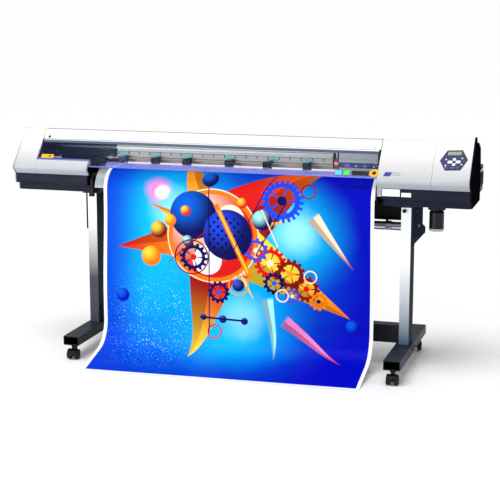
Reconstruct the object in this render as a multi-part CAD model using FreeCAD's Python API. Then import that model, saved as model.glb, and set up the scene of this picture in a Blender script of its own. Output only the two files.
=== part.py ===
import FreeCAD, Part
import math
import os

# Roll-fed wide-format printer cutter on a two-post stand, millimetres.
# X runs along the machine, to the operator's right; Y runs to the rear; Z is up.
# The origin is the middle of the footprint on the floor.

Vector = FreeCAD.Vector
ALONG_X = Vector(1, 0, 0)
ALONG_Y = Vector(0, 1, 0)
ALONG_Z = Vector(0, 0, 1)

# ---- driving dimensions ----
BODY_HALF = 1155.0            # half the body's length
PANEL_T = 3.0                 # wall of moulded and folded covers
MEDIA_W = 1371.0              # 54 inch media
MEDIA_LEFT = -667.0           # left edge of the sheet
FEED_LEFT = -751.0            # left end of the feeding unit, where the chin ends
FEED_RIGHT = 712.0            # right end of the feeding unit, where the right cover starts
WINDOW_LEFT = -1035.0         # right edge of the tall part of the left cover
POD_LEFT = 970.0              # seam between the right cover and the control pod
POD_RIGHT = 1148.5
POST_X = (-780.0, 836.0)      # centres of the two posts
STAND_Y = 65.0                # middle of the feet
FOOT_HALF = 368.0             # half the length of a foot
BODY_BOTTOM = 812.0
SWITCH_PIVOT = (226.0, 964.0)
SWITCH_TILT = 8.0
FLOOR_GAP = 77.0              # underside of the feet above the floor

# ---- body outline, as (Y, Z) ----
RIDGE = (35.0, 1116.0)        # top edge of the sloping front
NOSE_TOP = (-127.0, 943.0)
NOSE_BOTTOM = (-127.0, 930.0)
CHIN_EDGE = (-100.0, 903.0)   # where the light covers end and the dark trays start
POD_RIDGE = (28.0, 1140.0)    # the pod's outline at its right end
POD_NOSE = (-131.0, 957.0)
COVER_REAR = (72.0, 1114.0)
SLOPE_LEN = math.hypot(RIDGE[0] - NOSE_TOP[0], RIDGE[1] - NOSE_TOP[1])
SLOPE_DIR = ((NOSE_TOP[0] - RIDGE[0]) / SLOPE_LEN, (NOSE_TOP[1] - RIDGE[1]) / SLOPE_LEN)
SLOPE_OUT = (SLOPE_DIR[1], -SLOPE_DIR[0])
CHIN_TOP_S = 194.0            # down the slope from the ridge to the chin's top edge
BAR_S = (62.0, 82.0)          # the aluminium bar, down the slope
WINDOW_END_S = 226.0          # the window's lower edge, down the slope
COVER_HINGE = (66.0, 1110.0)
HINGE_PIN_R = 2.5
HINGE_X = (-960.0, -420.0, 120.0, 640.0)
COVER_GAP = 2.0               # front cover to the fixed covers beside it

# ---- feeding unit ----
PLATEN_TOP = 935.0
GRIT = (118.0, 925.2)
GRIT_R = 11.0
JOURNAL_R = 5.0
RUN_FIT = 0.06                # radial clearance of a turning fit
SHEET_T = 1.0
SHEET_Z = 936.6               # underside of the sheet on the platen
APRON_R = 100.0
APRON_CENTRE = (-7.0, 831.0)
PINCH_X = (-650.0, -475.0, -307.0, -83.0, 115.0, 318.0, 560.0)
PINCH_PIVOT = (145.0, 966.0)
PINCH_R = 8.0
PINCH_AXLE_Z = SHEET_Z + SHEET_T + PINCH_R + 0.5
LEVER_X = (-748.0, -726.0)
LEVER_PIVOT = (-62.0, 902.0)

# ---- carriage drive ----
RAIL_Y = (152.0, 196.0)
RAIL_Z = (968.0, 1052.0)
RAIL_X = (-1030.0, 1090.0)
RIB_Y = 140.0
RIB_Z = (1012.0, 1024.0)
CARRIAGE_X = (500.0, 690.0)
HEAD_GAP_Z = 942.0
CUTTER_X = 482.0
CUTTER_Y = 62.0
PULLEY_Y = 172.0
PULLEY_R = 13.0
MOTOR_HALF = 20.0
PULLEY_X = (-1005.0, 1060.0)
BELT_Z = (1056.5, 1062.5)
BELT_T = 1.5
BELT_GAP = 0.3

# ---- stand ----
POST_W = 49.0
POST_Y = (5.0, 113.0)
FOOT_W = 81.0
FOOT_H = 45.0
TUBE_T = 3.0
CASTER_Y = (STAND_Y - FOOT_HALF + 45.0, STAND_Y + FOOT_HALF - 45.0)
WHEEL_R = 25.0
CASTER_TRAIL = 18.0
MEDIA_SHAFT = (185.0, 681.0)
MEDIA_SHAFT_R = 14.5
TIE_ROD = (352.0, 628.0)

# ---- drain bottle, below the right tray ----
BOTTLE_AT = (973.0, 65.0)
BOTTLE_Z = (682.0, 776.0)
BOTTLE_R = 36.0
NECK_R = 22.0
SHOULDER = 14.0
CAP_TOP = 806.0

# ---- ink bay ----
BAY_X = (1000.0, 1149.0)
BAY_Y = (232.0, 371.0)
BAY_Z = (845.0, 973.0)
CARTRIDGE_COLOURS = ("black", "cyan", "magenta", "yellow")
SLOT_PITCH = 32.0
SLOT_W = 25.0
CARTRIDGE_CLEARANCE = 0.6

# ---- control panel, on the pod's slope ----
PANEL_X = 1063.0
PANEL_S = 119.0               # down the slope to the panel's middle
PANEL_HALF_W = 66.0
PANEL_HALF_H = 57.0


def box(x, y, z):
    """Block between (low, high) pairs."""
    return Part.makeBox(x[1] - x[0], y[1] - y[0], z[1] - z[0], Vector(x[0], y[0], z[0]))


def rod(start, direction, length, radius):
    return Part.makeCylinder(radius, length, Vector(*start), direction)


def rod_x(x, centre, radius):
    """Cylinder along X between two X values, about a (Y, Z) centre."""
    return rod((x[0], centre[0], centre[1]), ALONG_X, x[1] - x[0], radius)


def rod_z(x, y, z, radius):
    return rod((x, y, z[0]), ALONG_Z, z[1] - z[0], radius)


def outline(points, x, corner_radius=0.0, rounded=()):
    """Closed wire through (Y, Z) points at one X, with arcs at the corners listed in rounded."""
    corners = [Vector(x, y, z) for y, z in points]
    ends = []
    for i, corner in enumerate(corners):
        if i not in rounded:
            ends.append((corner, corner, None))
            continue
        back = (corners[i - 1] - corner).normalize()
        ahead = (corners[(i + 1) % len(corners)] - corner).normalize()
        half = back.getAngle(ahead) / 2
        reach = corner_radius / math.tan(half)
        middle = corner + (back + ahead).normalize() * (corner_radius / math.sin(half) - corner_radius)
        ends.append((corner + back * reach, corner + ahead * reach, middle))
    edges = []
    for i, (first, last, middle) in enumerate(ends):
        if middle:
            edges.append(Part.Arc(first, middle, last).toShape())
        following = ends[(i + 1) % len(ends)][0]
        edges.append(Part.LineSegment(last, following).toShape())
    return Part.Wire(edges)


def prism(points, x, corner_radius=0.0, rounded=()):
    """Solid of a (Y, Z) outline carried along X."""
    face = Part.Face(outline(points, x[0], corner_radius, rounded))
    return face.extrude(Vector(x[1] - x[0], 0, 0))


def offset_path(points, distance):
    """The same open (Y, Z) path moved sideways, to its left as it runs."""
    moved = []
    for i, point in enumerate(points):
        normals = []
        for a, b in ((i - 1, i), (i, i + 1)):
            if a < 0 or b >= len(points):
                continue
            dy = points[b][0] - points[a][0]
            dz = points[b][1] - points[a][1]
            length = math.hypot(dy, dz)
            normals.append((-dz / length, dy / length))
        ny = sum(n[0] for n in normals)
        nz = sum(n[1] for n in normals)
        size = math.hypot(ny, nz)
        cosine = (normals[0][0] * ny + normals[0][1] * nz) / size
        step = distance / cosine / size
        moved.append((point[0] + ny * step, point[1] + nz * step))
    return moved


def skin(points, thickness, x):
    """Wall of one thickness along an open (Y, Z) path, carried along X. It thickens to the path's left."""
    inner = offset_path(points, thickness)
    return prism(points + inner[::-1], x)


def on_slope(s, out=0.0):
    """(Y, Z) of a point s down the sloping front and out above it."""
    y = RIDGE[0] + SLOPE_DIR[0] * s + SLOPE_OUT[0] * out
    z = RIDGE[1] + SLOPE_DIR[1] * s + SLOPE_OUT[1] * out
    return (y, z)


def arc_points(centre, radius, start_deg, end_deg, steps):
    """(Y, Z) points along an arc."""
    points = []
    for i in range(steps + 1):
        angle = math.radians(start_deg + (end_deg - start_deg) * i / steps)
        points.append((centre[0] + radius * math.cos(angle), centre[1] + radius * math.sin(angle)))
    return points


def fuse(shapes):
    return shapes[0].multiFuse(shapes[1:]).removeSplitter()


def cut(shape, tools):
    return shape.cut(Part.makeCompound(tools))


def group(shapes):
    return Part.makeCompound(shapes)


def tube_box(x, y, z, wall, open_axis):
    """Rectangular tube, open at both ends of one axis."""
    inner = [(low + wall, high - wall) for low, high in (x, y, z)]
    inner[open_axis] = (x, y, z)[open_axis]
    return box(x, y, z).cut(box(*inner))


# ---- stand ----

def stand_feet():
    feet = []
    for x in POST_X:
        wide = (x - FOOT_W / 2, x + FOOT_W / 2)
        deep = (STAND_Y - FOOT_HALF, STAND_Y + FOOT_HALF)
        foot = tube_box(wide, deep, (FLOOR_GAP, FLOOR_GAP + FOOT_H), TUBE_T, 1)
        caps = [box((wide[0] + TUBE_T, wide[1] - TUBE_T), (y, y + TUBE_T),
                    (FLOOR_GAP + TUBE_T, FLOOR_GAP + FOOT_H - TUBE_T))
                for y in (deep[0], deep[1] - TUBE_T)]
        plates = [box((x - 30, x + 30), (y - 30, y + 30), (FLOOR_GAP - 5, FLOOR_GAP)) for y in CASTER_Y]
        bores = [rod_z(x, y, (FLOOR_GAP - 5, FLOOR_GAP + TUBE_T), 6 + RUN_FIT) for y in CASTER_Y]
        feet.append(cut(fuse([foot] + caps + plates), bores))
    return group(feet)


def stand_posts():
    posts = []
    for x in POST_X:
        wide = (x - POST_W / 2, x + POST_W / 2)
        posts.append(tube_box(wide, POST_Y, (FLOOR_GAP + FOOT_H, BODY_BOTTOM - 12), TUBE_T, 2))
    return group(posts)


def crossbar():
    span = (POST_X[0] + POST_W / 2, POST_X[1] - POST_W / 2)
    return tube_box(span, (30, 96), (FLOOR_GAP + FOOT_H, FLOOR_GAP + FOOT_H + 88), TUBE_T, 0)


def roll_holders():
    """Plates on the posts' outer faces that carry the media shaft, and the tie rod between them."""
    holders = []
    side = [(5, 800), (298, 800), (302, 670), (389, 642), (389, 612), (5, 612)]
    for x, sign in zip(POST_X, (-1, 1)):
        inner = x + sign * POST_W / 2
        wide = tuple(sorted((inner, inner + sign * 8)))
        plate = prism(side, wide, 6, (3, 4, 5))
        top_inner = x - sign * (POST_W / 2 + 30)
        top = box(tuple(sorted((top_inner, inner + sign * 20))), (-12, 240), (800, BODY_BOTTOM))
        holes = [rod_x((wide[0] - 1, wide[1] + 1), MEDIA_SHAFT, 8 + RUN_FIT),
                 box((wide[0] - 1, wide[1] + 1), (232, 248), (690, 722))]
        holders.append(cut(fuse([plate, top]), holes))
    holders.append(rod_x((POST_X[0] - POST_W / 2, POST_X[1] + POST_W / 2), TIE_ROD, 6))
    return group(holders)


def media_shaft():
    span = (POST_X[0] - POST_W / 2 + 1, POST_X[1] + POST_W / 2 - 1)
    parts = [rod_x(span, MEDIA_SHAFT, MEDIA_SHAFT_R),
             rod_x((span[0] - 9, span[1] + 9), MEDIA_SHAFT, 8)]
    for x in (-700.0, 705.0):
        parts.append(rod_x((x, x + 12), MEDIA_SHAFT, 24))
        parts.append(rod_x((x + 12, x + 30), MEDIA_SHAFT, 18))
    return fuse(parts)


def stand_bolts():
    bolts = []
    for x, sign in zip(POST_X, (-1, 1)):
        face = x + sign * (POST_W / 2 + 8)
        for y, z in ((30, 640), (88, 640), (30, 770), (88, 770)):
            bolts.append(rod((face, y, z), Vector(sign, 0, 0), 5, 7))
        foot_side = x + sign * FOOT_W / 2
        for y in (30, 88):
            bolts.append(rod((foot_side, y, FLOOR_GAP + FOOT_H / 2), Vector(sign, 0, 0), 5, 7))
    knob = (POST_X[1] - 8, POST_Y[0], 782)
    bolts.append(rod(knob, -ALONG_Y, 14, 9))
    return group(bolts)


def caster_fork(x, y):
    """Swivelling body of a twin-wheel caster, with its stem and axle."""
    axle_y = y - CASTER_TRAIL
    stem = rod_z(x, y, (FLOOR_GAP - 6.5, FLOOR_GAP + 1), 6)
    collar = rod_z(x, y, (FLOOR_GAP - 16, FLOOR_GAP - 5.5), 17)
    hood = rod((x - 9, axle_y, WHEEL_R), ALONG_X, 18, WHEEL_R + 3)
    hood = hood.common(box((x - 9, x + 9), (axle_y - 40, axle_y + 40), (12, FLOOR_GAP)))
    neck = box((x - 9, x + 9), (axle_y, y + 12), (36, FLOOR_GAP - 12))
    axle = rod((x - 29, axle_y, WHEEL_R), ALONG_X, 58, 4)
    return fuse([stem, collar, hood, neck, axle])


def caster_wheels(x, y):
    axle_y = y - CASTER_TRAIL
    wheels = []
    for start in (x - 29, x + 10):
        wheel = rod((start, axle_y, WHEEL_R), ALONG_X, 19, WHEEL_R)
        wheels.append(wheel.cut(rod((start - 1, axle_y, WHEEL_R), ALONG_X, 21, 4 + RUN_FIT)))
    return group(wheels)


# ---- chassis ----

def base_beam():
    """Main hollow beam, with a lip in front of it under the feeding unit."""
    beam = tube_box((-1100, 1100), (40, 228), (BODY_BOTTOM + 3, 880), 4, 0)
    lip = [(-60, 815), (40, 815), (40, 819), (-56, 819), (-56, 843), (40, 876), (40, 880), (-60, 846)]
    return fuse([beam, prism(lip, (FEED_LEFT + 2, FEED_RIGHT - 2))])


def side_frames():
    """Four dark side plates: two beside the feeding unit and one at each end of the body."""
    plates = []
    inner = [(-60, 848), (40, 882), (228, 882), (228, 968), (151, 968), (151, 978), (136, 978), (136, 940),
             (104, 940), (104, 934), (-60, 934), (-92, 958), (-116, 938), (-116, 928), (-100, 912)]
    shaft_bore = [rod_x((x - 1, x + 7), GRIT, JOURNAL_R + RUN_FIT) for x in (-757, FEED_RIGHT)]
    pinch_bore = [rod_x((x - 1, x + 7), PINCH_PIVOT, 4 + RUN_FIT) for x in (-757, FEED_RIGHT)]
    lever_bore = [rod_x((-758, -750), LEVER_PIVOT, 7 + RUN_FIT)]
    for x in (-757, FEED_RIGHT):
        plate = prism(inner, (x, x + 6))
        plates.append(cut(plate, shaft_bore + pinch_bore + lever_bore))
    lower = [(-58, 814), (-58, 848), (-98, 853), CHIN_EDGE, NOSE_BOTTOM]
    rear = [(144, 1103), (212, 1072), (232, 990), (232, 814)]
    left = lower + [NOSE_TOP, RIDGE, COVER_REAR] + rear
    plates.append(prism(left, (-BODY_HALF, 5 - BODY_HALF), 8, (0, 9, 10, 11)))
    right = lower + [POD_NOSE, POD_RIDGE, (70, 1138), (76, 1114)] + rear
    plates.append(prism(right, (BODY_HALF - 6, BODY_HALF), 8, (0, 10, 11, 12)))
    return group(plates)


def tray(x, closed_x):
    """Dark lower cover with a stepped front. closed_x is the X span of the wall in front of the beam."""
    path = [(-98, 902), (-98, 853), (-58, 848), (-58, BODY_BOTTOM), (231, BODY_BOTTOM), (231, 943)]
    wall = skin(path, PANEL_T, x)
    end = prism(path[:4] + [(36, BODY_BOTTOM), (36, 902)], closed_x)
    return fuse([wall, end])


def left_tray():
    return tray((-1148, -760), (-763, -760))


def right_tray():
    x = (FEED_RIGHT + 23, BODY_HALF - 7)
    holder = rod_z(973, 65, (786, BODY_BOTTOM), 42).cut(rod_z(973, 65, (780, BODY_BOTTOM - 3), 37))
    return fuse([tray(x, (x[0], x[0] + PANEL_T)), holder])


# ---- covers ----

def chin_skin(x):
    lip = (on_slope(CHIN_TOP_S)[0] + 22, on_slope(CHIN_TOP_S)[1])
    return skin([lip, on_slope(CHIN_TOP_S), NOSE_TOP, NOSE_BOTTOM, CHIN_EDGE], PANEL_T, x)


def left_cover():
    path = [COVER_REAR, RIDGE, NOSE_TOP, NOSE_BOTTOM, CHIN_EDGE]
    tall = skin(path, PANEL_T, (5.5 - BODY_HALF, WINDOW_LEFT))
    rim = prism(path, (5.5 - BODY_HALF, 8.5 - BODY_HALF))
    chin = chin_skin((WINDOW_LEFT, FEED_LEFT))
    return fuse([tall, rim, chin])


def right_cover():
    path = [COVER_REAR, RIDGE, NOSE_TOP, NOSE_BOTTOM, CHIN_EDGE]
    body = skin(path, PANEL_T, (FEED_RIGHT + 1, POD_LEFT - 1))
    tab = box((FEED_RIGHT + 1, FEED_RIGHT + 22), (-100, -96), (862, 905))
    return fuse([body, tab])


def pod_outline(x, ridge, nose):
    """Section of the pod's wall at one X."""
    path = [COVER_REAR, (70, ridge[1] - 2), ridge, nose, NOSE_BOTTOM, CHIN_EDGE]
    points = path + offset_path(path, PANEL_T)[::-1]
    return Part.makePolygon([Vector(x, y, z) for y, z in points + points[:1]])


def panel_frame():
    """Origin, X axis, down-slope axis and outward normal of the control panel."""
    t = (PANEL_X - POD_LEFT) / (POD_RIGHT - POD_LEFT)
    ends = ((RIDGE, POD_RIDGE), (NOSE_TOP, POD_NOSE))
    upper, lower = [tuple(a + (b - a) * t for a, b in zip(p, q)) for p, q in ends]
    top = Vector(PANEL_X, *upper)
    down = (Vector(PANEL_X, *lower) - top).normalize()
    share = PANEL_S / SLOPE_LEN
    left = Vector(POD_LEFT, *on_slope(PANEL_S))
    right = Vector(POD_RIGHT, POD_RIDGE[0] + (POD_NOSE[0] - POD_RIDGE[0]) * share,
                   POD_RIDGE[1] + (POD_NOSE[1] - POD_RIDGE[1]) * share)
    out = down.cross((right - left).normalize()).normalize()
    return top + down * PANEL_S, out.cross(down), down, out


PANEL_O, PANEL_U, PANEL_D, PANEL_N = panel_frame()


def panel_point(u, d, n):
    return PANEL_O + PANEL_U * u + PANEL_D * d + PANEL_N * n


def panel_prism(points, n):
    """Solid of a (u, d) outline between two heights over the panel."""
    corners = [panel_point(u, d, n[0]) for u, d in points]
    return Part.Face(Part.makePolygon(corners + [corners[0]])).extrude(PANEL_N * (n[1] - n[0]))


def panel_rod(u, d, n, radius):
    return Part.makeCylinder(radius, n[1] - n[0], panel_point(u, d, n[0]), PANEL_N)


def hexagon(grow=0.0):
    w = PANEL_HALF_W + grow
    h = PANEL_HALF_H + grow
    return [(-w, 0), (-0.55 * w, -h), (0.55 * w, -h), (w, 0), (0.55 * w, h), (-0.55 * w, h)]


def key_outline(name, grow=0.0):
    """Arm of the cross pad as a (u, d) rectangle about its middle."""
    u, d, half_u, half_d = CURSOR_KEYS[name]
    left, right = u - half_u - grow, u + half_u + grow
    top, bottom = d - half_d - grow, d + half_d + grow
    return [(left, top), (right, top), (right, bottom), (left, bottom)]


CROSS = (3, 12)               # middle of the cross pad on the panel
CURSOR_KEYS = {
    "up": (CROSS[0], CROSS[1] - 14.5, 7, 6.5),
    "down": (CROSS[0], CROSS[1] + 14.5, 7, 6.5),
    "left": (CROSS[0] - 19, CROSS[1], 11, 7),
    "right": (CROSS[0] + 19, CROSS[1], 11, 7),
}
ROUND_KEYS = {"menu": (-36, -4), "enter": (40, -8), "pause": (-36, 31), "base_point": (40, 27)}
ROUND_R = 4.0
LCD = [(-31, -47), (33, -47), (33, -27), (-31, -27)]


def control_pod():
    """Wall that twists from the right cover's outline to the pod's own, with the panel's opening."""
    ends = [pod_outline(POD_LEFT, RIDGE, NOSE_TOP), pod_outline(POD_RIGHT, POD_RIDGE, POD_NOSE)]
    return Part.makeLoft(ends, True, True).cut(panel_prism(hexagon(0.4), (-25, 25)))


def panel_bezel():
    plate = panel_prism(hexagon(), (-5, 3))
    holes = [panel_prism(key_outline(name, 0.4), (-6, 4)) for name in CURSOR_KEYS]
    holes += [panel_rod(u, d, (-6, 4), ROUND_R + 0.3) for u, d in ROUND_KEYS.values()]
    holes.append(panel_prism(LCD, (1, 4)))
    return cut(plate, holes)


def lcd_screen():
    return panel_prism([(u * 0.99, d + 0.3 if d < -40 else d - 0.3) for u, d in LCD], (1, 2.6))


def cursor_key(name):
    return panel_prism(key_outline(name), (-4, 5))


def round_key(name):
    u, d = ROUND_KEYS[name]
    return panel_rod(u, d, (-4, 4.5), ROUND_R)


def rear_cover():
    path = [(232, 946), (232, 990), (212, 1072), (144, 1103), (76, 1113)]
    shell = skin(path, PANEL_T, (5.5 - BODY_HALF, POD_RIGHT))
    blocks = []
    for x in HINGE_X:
        block = box((x + 12, x + 30), (62, 84), (1098, 1110))
        block = block.fuse(rod_x((x + 12, x + 30), COVER_HINGE, 5))
        blocks.append(block.cut(rod_x((x + 11, x + 31), COVER_HINGE, HINGE_PIN_R + RUN_FIT)))
    switch_cut = box((-1068, -1044), (215, 238), (954.5, 973.5))
    inlet_cut = box((-1120, -1086), (225, 236), (952, 976))
    return cut(fuse([shell] + blocks), [switch_cut, inlet_cut])


def power_inlet():
    block = box((-1119.5, -1086.5), (212, 233), (952.5, 975.5))
    return block.cut(box((-1115, -1091), (219, 234), (957, 971)))


def power_switch():
    """Rocker on its pin, tilted to its off position."""
    rocker = box((-1067, -1045), (219, 235), (957, 971))
    rocker.rotate(Vector(0, *SWITCH_PIVOT), ALONG_X, SWITCH_TILT)
    return rocker.fuse(rod_x((-1067.8, -1044.2), SWITCH_PIVOT, 2))


# ---- front cover ----

def cover_panel():
    """Opaque upper part of the front cover, with its hinge knuckles and pins."""
    span = (WINDOW_LEFT + COVER_GAP, FEED_RIGHT - COVER_GAP)
    rear_edge = (COVER_HINGE[0] - 6, RIDGE[1])
    plate = skin([rear_edge, RIDGE, on_slope(BAR_S[0] - 0.3)], PANEL_T, span)
    parts = [plate]
    for x in HINGE_X:
        arm = box((x, x + 10), (COVER_HINGE[0] - 14, COVER_HINGE[0]), (1106, 1114))
        knuckle = rod_x((x, x + 10), COVER_HINGE, 5)
        pin = rod_x((x, x + 32), COVER_HINGE, HINGE_PIN_R)
        parts += [arm, knuckle, pin]
    return fuse(parts)


def cover_bar():
    span = (WINDOW_LEFT + COVER_GAP, FEED_RIGHT - COVER_GAP)
    outer = [on_slope(BAR_S[0], 4), on_slope(BAR_S[1], 4), on_slope(BAR_S[1], -6), on_slope(BAR_S[0], -6)]
    return prism(outer, span, 2, (0, 1))


def cover_window():
    left = (WINDOW_LEFT + COVER_GAP, FEED_LEFT + COVER_GAP)
    right = (left[1], FEED_RIGHT - COVER_GAP)
    panes = []
    for span, end in ((left, CHIN_TOP_S - 6), (right, WINDOW_END_S)):
        pane = [on_slope(BAR_S[1] + 0.3), on_slope(end), on_slope(end, -4), on_slope(BAR_S[1] + 0.3, -4)]
        panes.append(prism(pane, span))
    return fuse(panes)


# ---- feeding unit ----

def platen():
    profile = [(22, PLATEN_TOP), (104, PLATEN_TOP), (104, 905), (98, 905), (98, 880), (92, 880),
               (92, 908), (50, 908), (50, 880), (44, 880), (44, 908), (22, 908)]
    return prism(profile, (FEED_LEFT + 4, FEED_RIGHT - 2))


def rear_guide():
    """Bent plate that leads the media up from the rear, wider below the body."""
    upper = [(133, 933), (165, 932), (200, 925), (240, 896), (262, 840), (262, 798)]
    lower = [(262, 800), (262, 700), (250, 692)]
    top = skin(upper, -2.5, (FEED_LEFT + 4, FEED_RIGHT - 2))
    low = skin(lower, -2.5, (POST_X[0] - 10, POST_X[1] + 10))
    return fuse([top, low])


def apron():
    arc = arc_points(APRON_CENTRE, APRON_R, 90, 172, 16)
    path = [(20, APRON_CENTRE[1] + APRON_R)] + arc
    return skin(path, 2.5, (-718, FEED_RIGHT - 4))


def sheet_path():
    """Underside of the printed sheet, from behind the rollers to its front edge on the floor."""
    radius = APRON_R + SHEET_Z - APRON_CENTRE[1] - APRON_R
    over = arc_points(APRON_CENTRE, radius, 90, 180, 16)
    curl_r = 140.0
    curl = arc_points((over[-1][0] - curl_r, 185), curl_r, 0, -76.7, 14)
    return [(148, SHEET_Z)] + over + curl + [(-432.6, 1.5)]


def printed_sheet():
    return skin(sheet_path(), -SHEET_T, (MEDIA_LEFT, MEDIA_LEFT + MEDIA_W))


def grit_roller():
    span = (FEED_LEFT + 5, FEED_RIGHT - 3)
    return fuse([rod_x(span, GRIT, GRIT_R), rod_x((-757, FEED_RIGHT + 6), GRIT, JOURNAL_R)])


def pinch_arms():
    """Shaft along the machine with a forked arm over each roller."""
    shaft = rod_x((-757, FEED_RIGHT + 6), PINCH_PIVOT, 4)
    parts = [shaft]
    for x in PINCH_X:
        bridge = box((x - 20, x + 20), (100, 149), (956, 976))
        cheeks = [box((x + a, x + b), (106, 130), (941, 957)) for a, b in ((-20, -13), (13, 20))]
        parts += [bridge] + cheeks
    arms = fuse(parts)
    bores = [rod_x((x - 21, x + 21), (GRIT[0], PINCH_AXLE_Z), 2.5 + RUN_FIT) for x in PINCH_X]
    return cut(arms, bores)


def pinch_rollers():
    rollers = []
    for x in PINCH_X:
        centre = (GRIT[0], PINCH_AXLE_Z)
        axle = rod_x((x - 19.5, x + 19.5), centre, 2.5)
        rollers.append(fuse([rod_x((x - 12, x + 12), centre, PINCH_R), axle]))
    return group(rollers)


def loading_lever():
    y, z = LEVER_PIVOT
    blade = [(y + 9, z + 9), (y - 12, z + 10), (y - 36, z - 22), (y - 46, z - 100), (y - 30, z - 104),
             (y - 20, z - 30), (y + 3, z - 11)]
    return fuse([prism(blade, (LEVER_X[0] + 5, LEVER_X[1] - 5)), rod_x(LEVER_X, LEVER_PIVOT, 13),
                 rod_x((-757, LEVER_X[0]), LEVER_PIVOT, 7),
                 prism([(y - 50, z - 102), (y - 28, z - 106), (y - 20, z - 60), (y - 42, z - 56)], LEVER_X)])


# ---- carriage and its drive ----

def guide_rail():
    """Hollow aluminium rail with a steel guide rib on its front and a pin for the idler pulley."""
    rail = tube_box(RAIL_X, RAIL_Y, RAIL_Z, 4, 0)
    rib = box(RAIL_X, (RIB_Y, RAIL_Y[0]), RIB_Z)
    pin = rod_z(PULLEY_X[0], PULLEY_Y, (RAIL_Z[1] - 1, BELT_Z[1] + 4), 4)
    motor_room = box((1034, 1200), (130, 220), (990, 1100))
    return fuse([rail, rib, pin]).cut(motor_room)


def motors():
    """Carriage motor under the drive pulley, and feed motor on the end of the grit roller."""
    x = PULLEY_X[1]
    depth = (PULLEY_Y - MOTOR_HALF, PULLEY_Y + MOTOR_HALF)
    carriage = box((x - MOTOR_HALF, x + MOTOR_HALF), depth, (990, 1050))
    feed = box((-822, -757.3), (88, 148), (895, 955))
    nose = rod_x((-850, -822), (118, 925), 20)
    return group([carriage, fuse([feed, nose])])


def pulley(x, bore):
    flanges = [rod_z(x, PULLEY_Y, z, PULLEY_R + 2) for z in ((BELT_Z[0] - 2.4, BELT_Z[0] - 0.6),
                                                            (BELT_Z[1] + 0.6, BELT_Z[1] + 2.4))]
    wheel = fuse([rod_z(x, PULLEY_Y, (BELT_Z[0] - 1, BELT_Z[1] + 1), PULLEY_R)] + flanges)
    if bore:
        return wheel.cut(rod_z(x, PULLEY_Y, (BELT_Z[0] - 5, BELT_Z[1] + 5), bore))
    return wheel.fuse(rod_z(x, PULLEY_Y, (1050.4, BELT_Z[0]), 4))


def drive_belt():
    inner_r = PULLEY_R + BELT_GAP
    loops = []
    for r in (inner_r + BELT_T, inner_r):
        block = box(PULLEY_X, (PULLEY_Y - r, PULLEY_Y + r), BELT_Z)
        loops.append(fuse([block] + [rod_z(x, PULLEY_Y, BELT_Z, r) for x in PULLEY_X]))
    return loops[0].cut(loops[1])


def print_carriage():
    """Head carriage that hangs in front of the rail and grips its guide rib."""
    profile = [(22, HEAD_GAP_Z), (96, HEAD_GAP_Z), (96, 990), (151, 990), (151, RIB_Z[0] - 0.5),
               (RIB_Y - 0.5, RIB_Z[0] - 0.5), (RIB_Y - 0.5, RIB_Z[1] + 0.5), (151, RIB_Z[1] + 0.5),
               (151, 1062), (118, 1080), (48, 1080), (22, 1052)]
    body = prism(profile, CARRIAGE_X, 6, (0, 10, 11))
    clip = box((570, 590), (140, PULLEY_Y - PULLEY_R - BELT_GAP - BELT_T - 0.3), (1055, 1062))
    nest = box((CUTTER_X - 18, CARRIAGE_X[0] + 1), (CUTTER_Y - 18, CUTTER_Y + 18), (965, 1040))
    nest = nest.cut(rod_z(CUTTER_X, CUTTER_Y, (960, 1045), 9.3))
    return fuse([body, clip, nest])


def cutter_holder():
    holder = rod_z(CUTTER_X, CUTTER_Y, (952, 1046), 9)
    flange = rod_z(CUTTER_X, CUTTER_Y, (1046, 1056), 13)
    tip = Part.makeCone(2, 6, 6, Vector(CUTTER_X, CUTTER_Y, 946), ALONG_Z)
    return fuse([holder, flange, tip])


def cap_station():
    base = box((900, 1040), (46, 100), (880, 920))
    caps = [box((910 + i * 32, 934 + i * 32), (52, 92), (920, 936)) for i in range(4)]
    return fuse([base] + caps)


# ---- ink and electronics ----

def slot_centre(index):
    return BAY_Y[0] + 20.5 + index * SLOT_PITCH


def ink_bay():
    body = box(BAY_X, BAY_Y, BAY_Z)
    slots = [box((BAY_X[0] + 12, BAY_X[1] + 1), (slot_centre(i) - SLOT_W / 2, slot_centre(i) + SLOT_W / 2),
                 (BAY_Z[0] + 8, BAY_Z[1] - 8)) for i in range(len(CARTRIDGE_COLOURS))]
    return cut(body, slots)


def ink_cartridge(index):
    half = SLOT_W / 2 - CARTRIDGE_CLEARANCE
    y = slot_centre(index)
    z = (BAY_Z[0] + 8 + CARTRIDGE_CLEARANCE, BAY_Z[1] - 8 - CARTRIDGE_CLEARANCE)
    body = box((BAY_X[0] + 16, BODY_HALF - 3), (y - half, y + half), z)
    grip = box((BODY_HALF - 3, BODY_HALF - 0.5), (y - half + 3, y + half - 3), (z[0] + 25, z[1] - 25))
    return body.fuse(grip)


def main_board():
    board = box((-1000, -800), (180, 182), (880, 960))
    chips = [box((x, x + 30), (170, 180), (905, 935)) for x in (-980, -920, -860)]
    return fuse([board] + chips)


def drain_bottle():
    body = rod_z(*BOTTLE_AT, BOTTLE_Z, BOTTLE_R)
    neck = Part.makeCone(BOTTLE_R, NECK_R, SHOULDER, Vector(*BOTTLE_AT, BOTTLE_Z[1]), ALONG_Z)
    cap = rod_z(*BOTTLE_AT, (BOTTLE_Z[1] + SHOULDER, CAP_TOP), NECK_R)
    return fuse([body, neck, cap])


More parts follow.
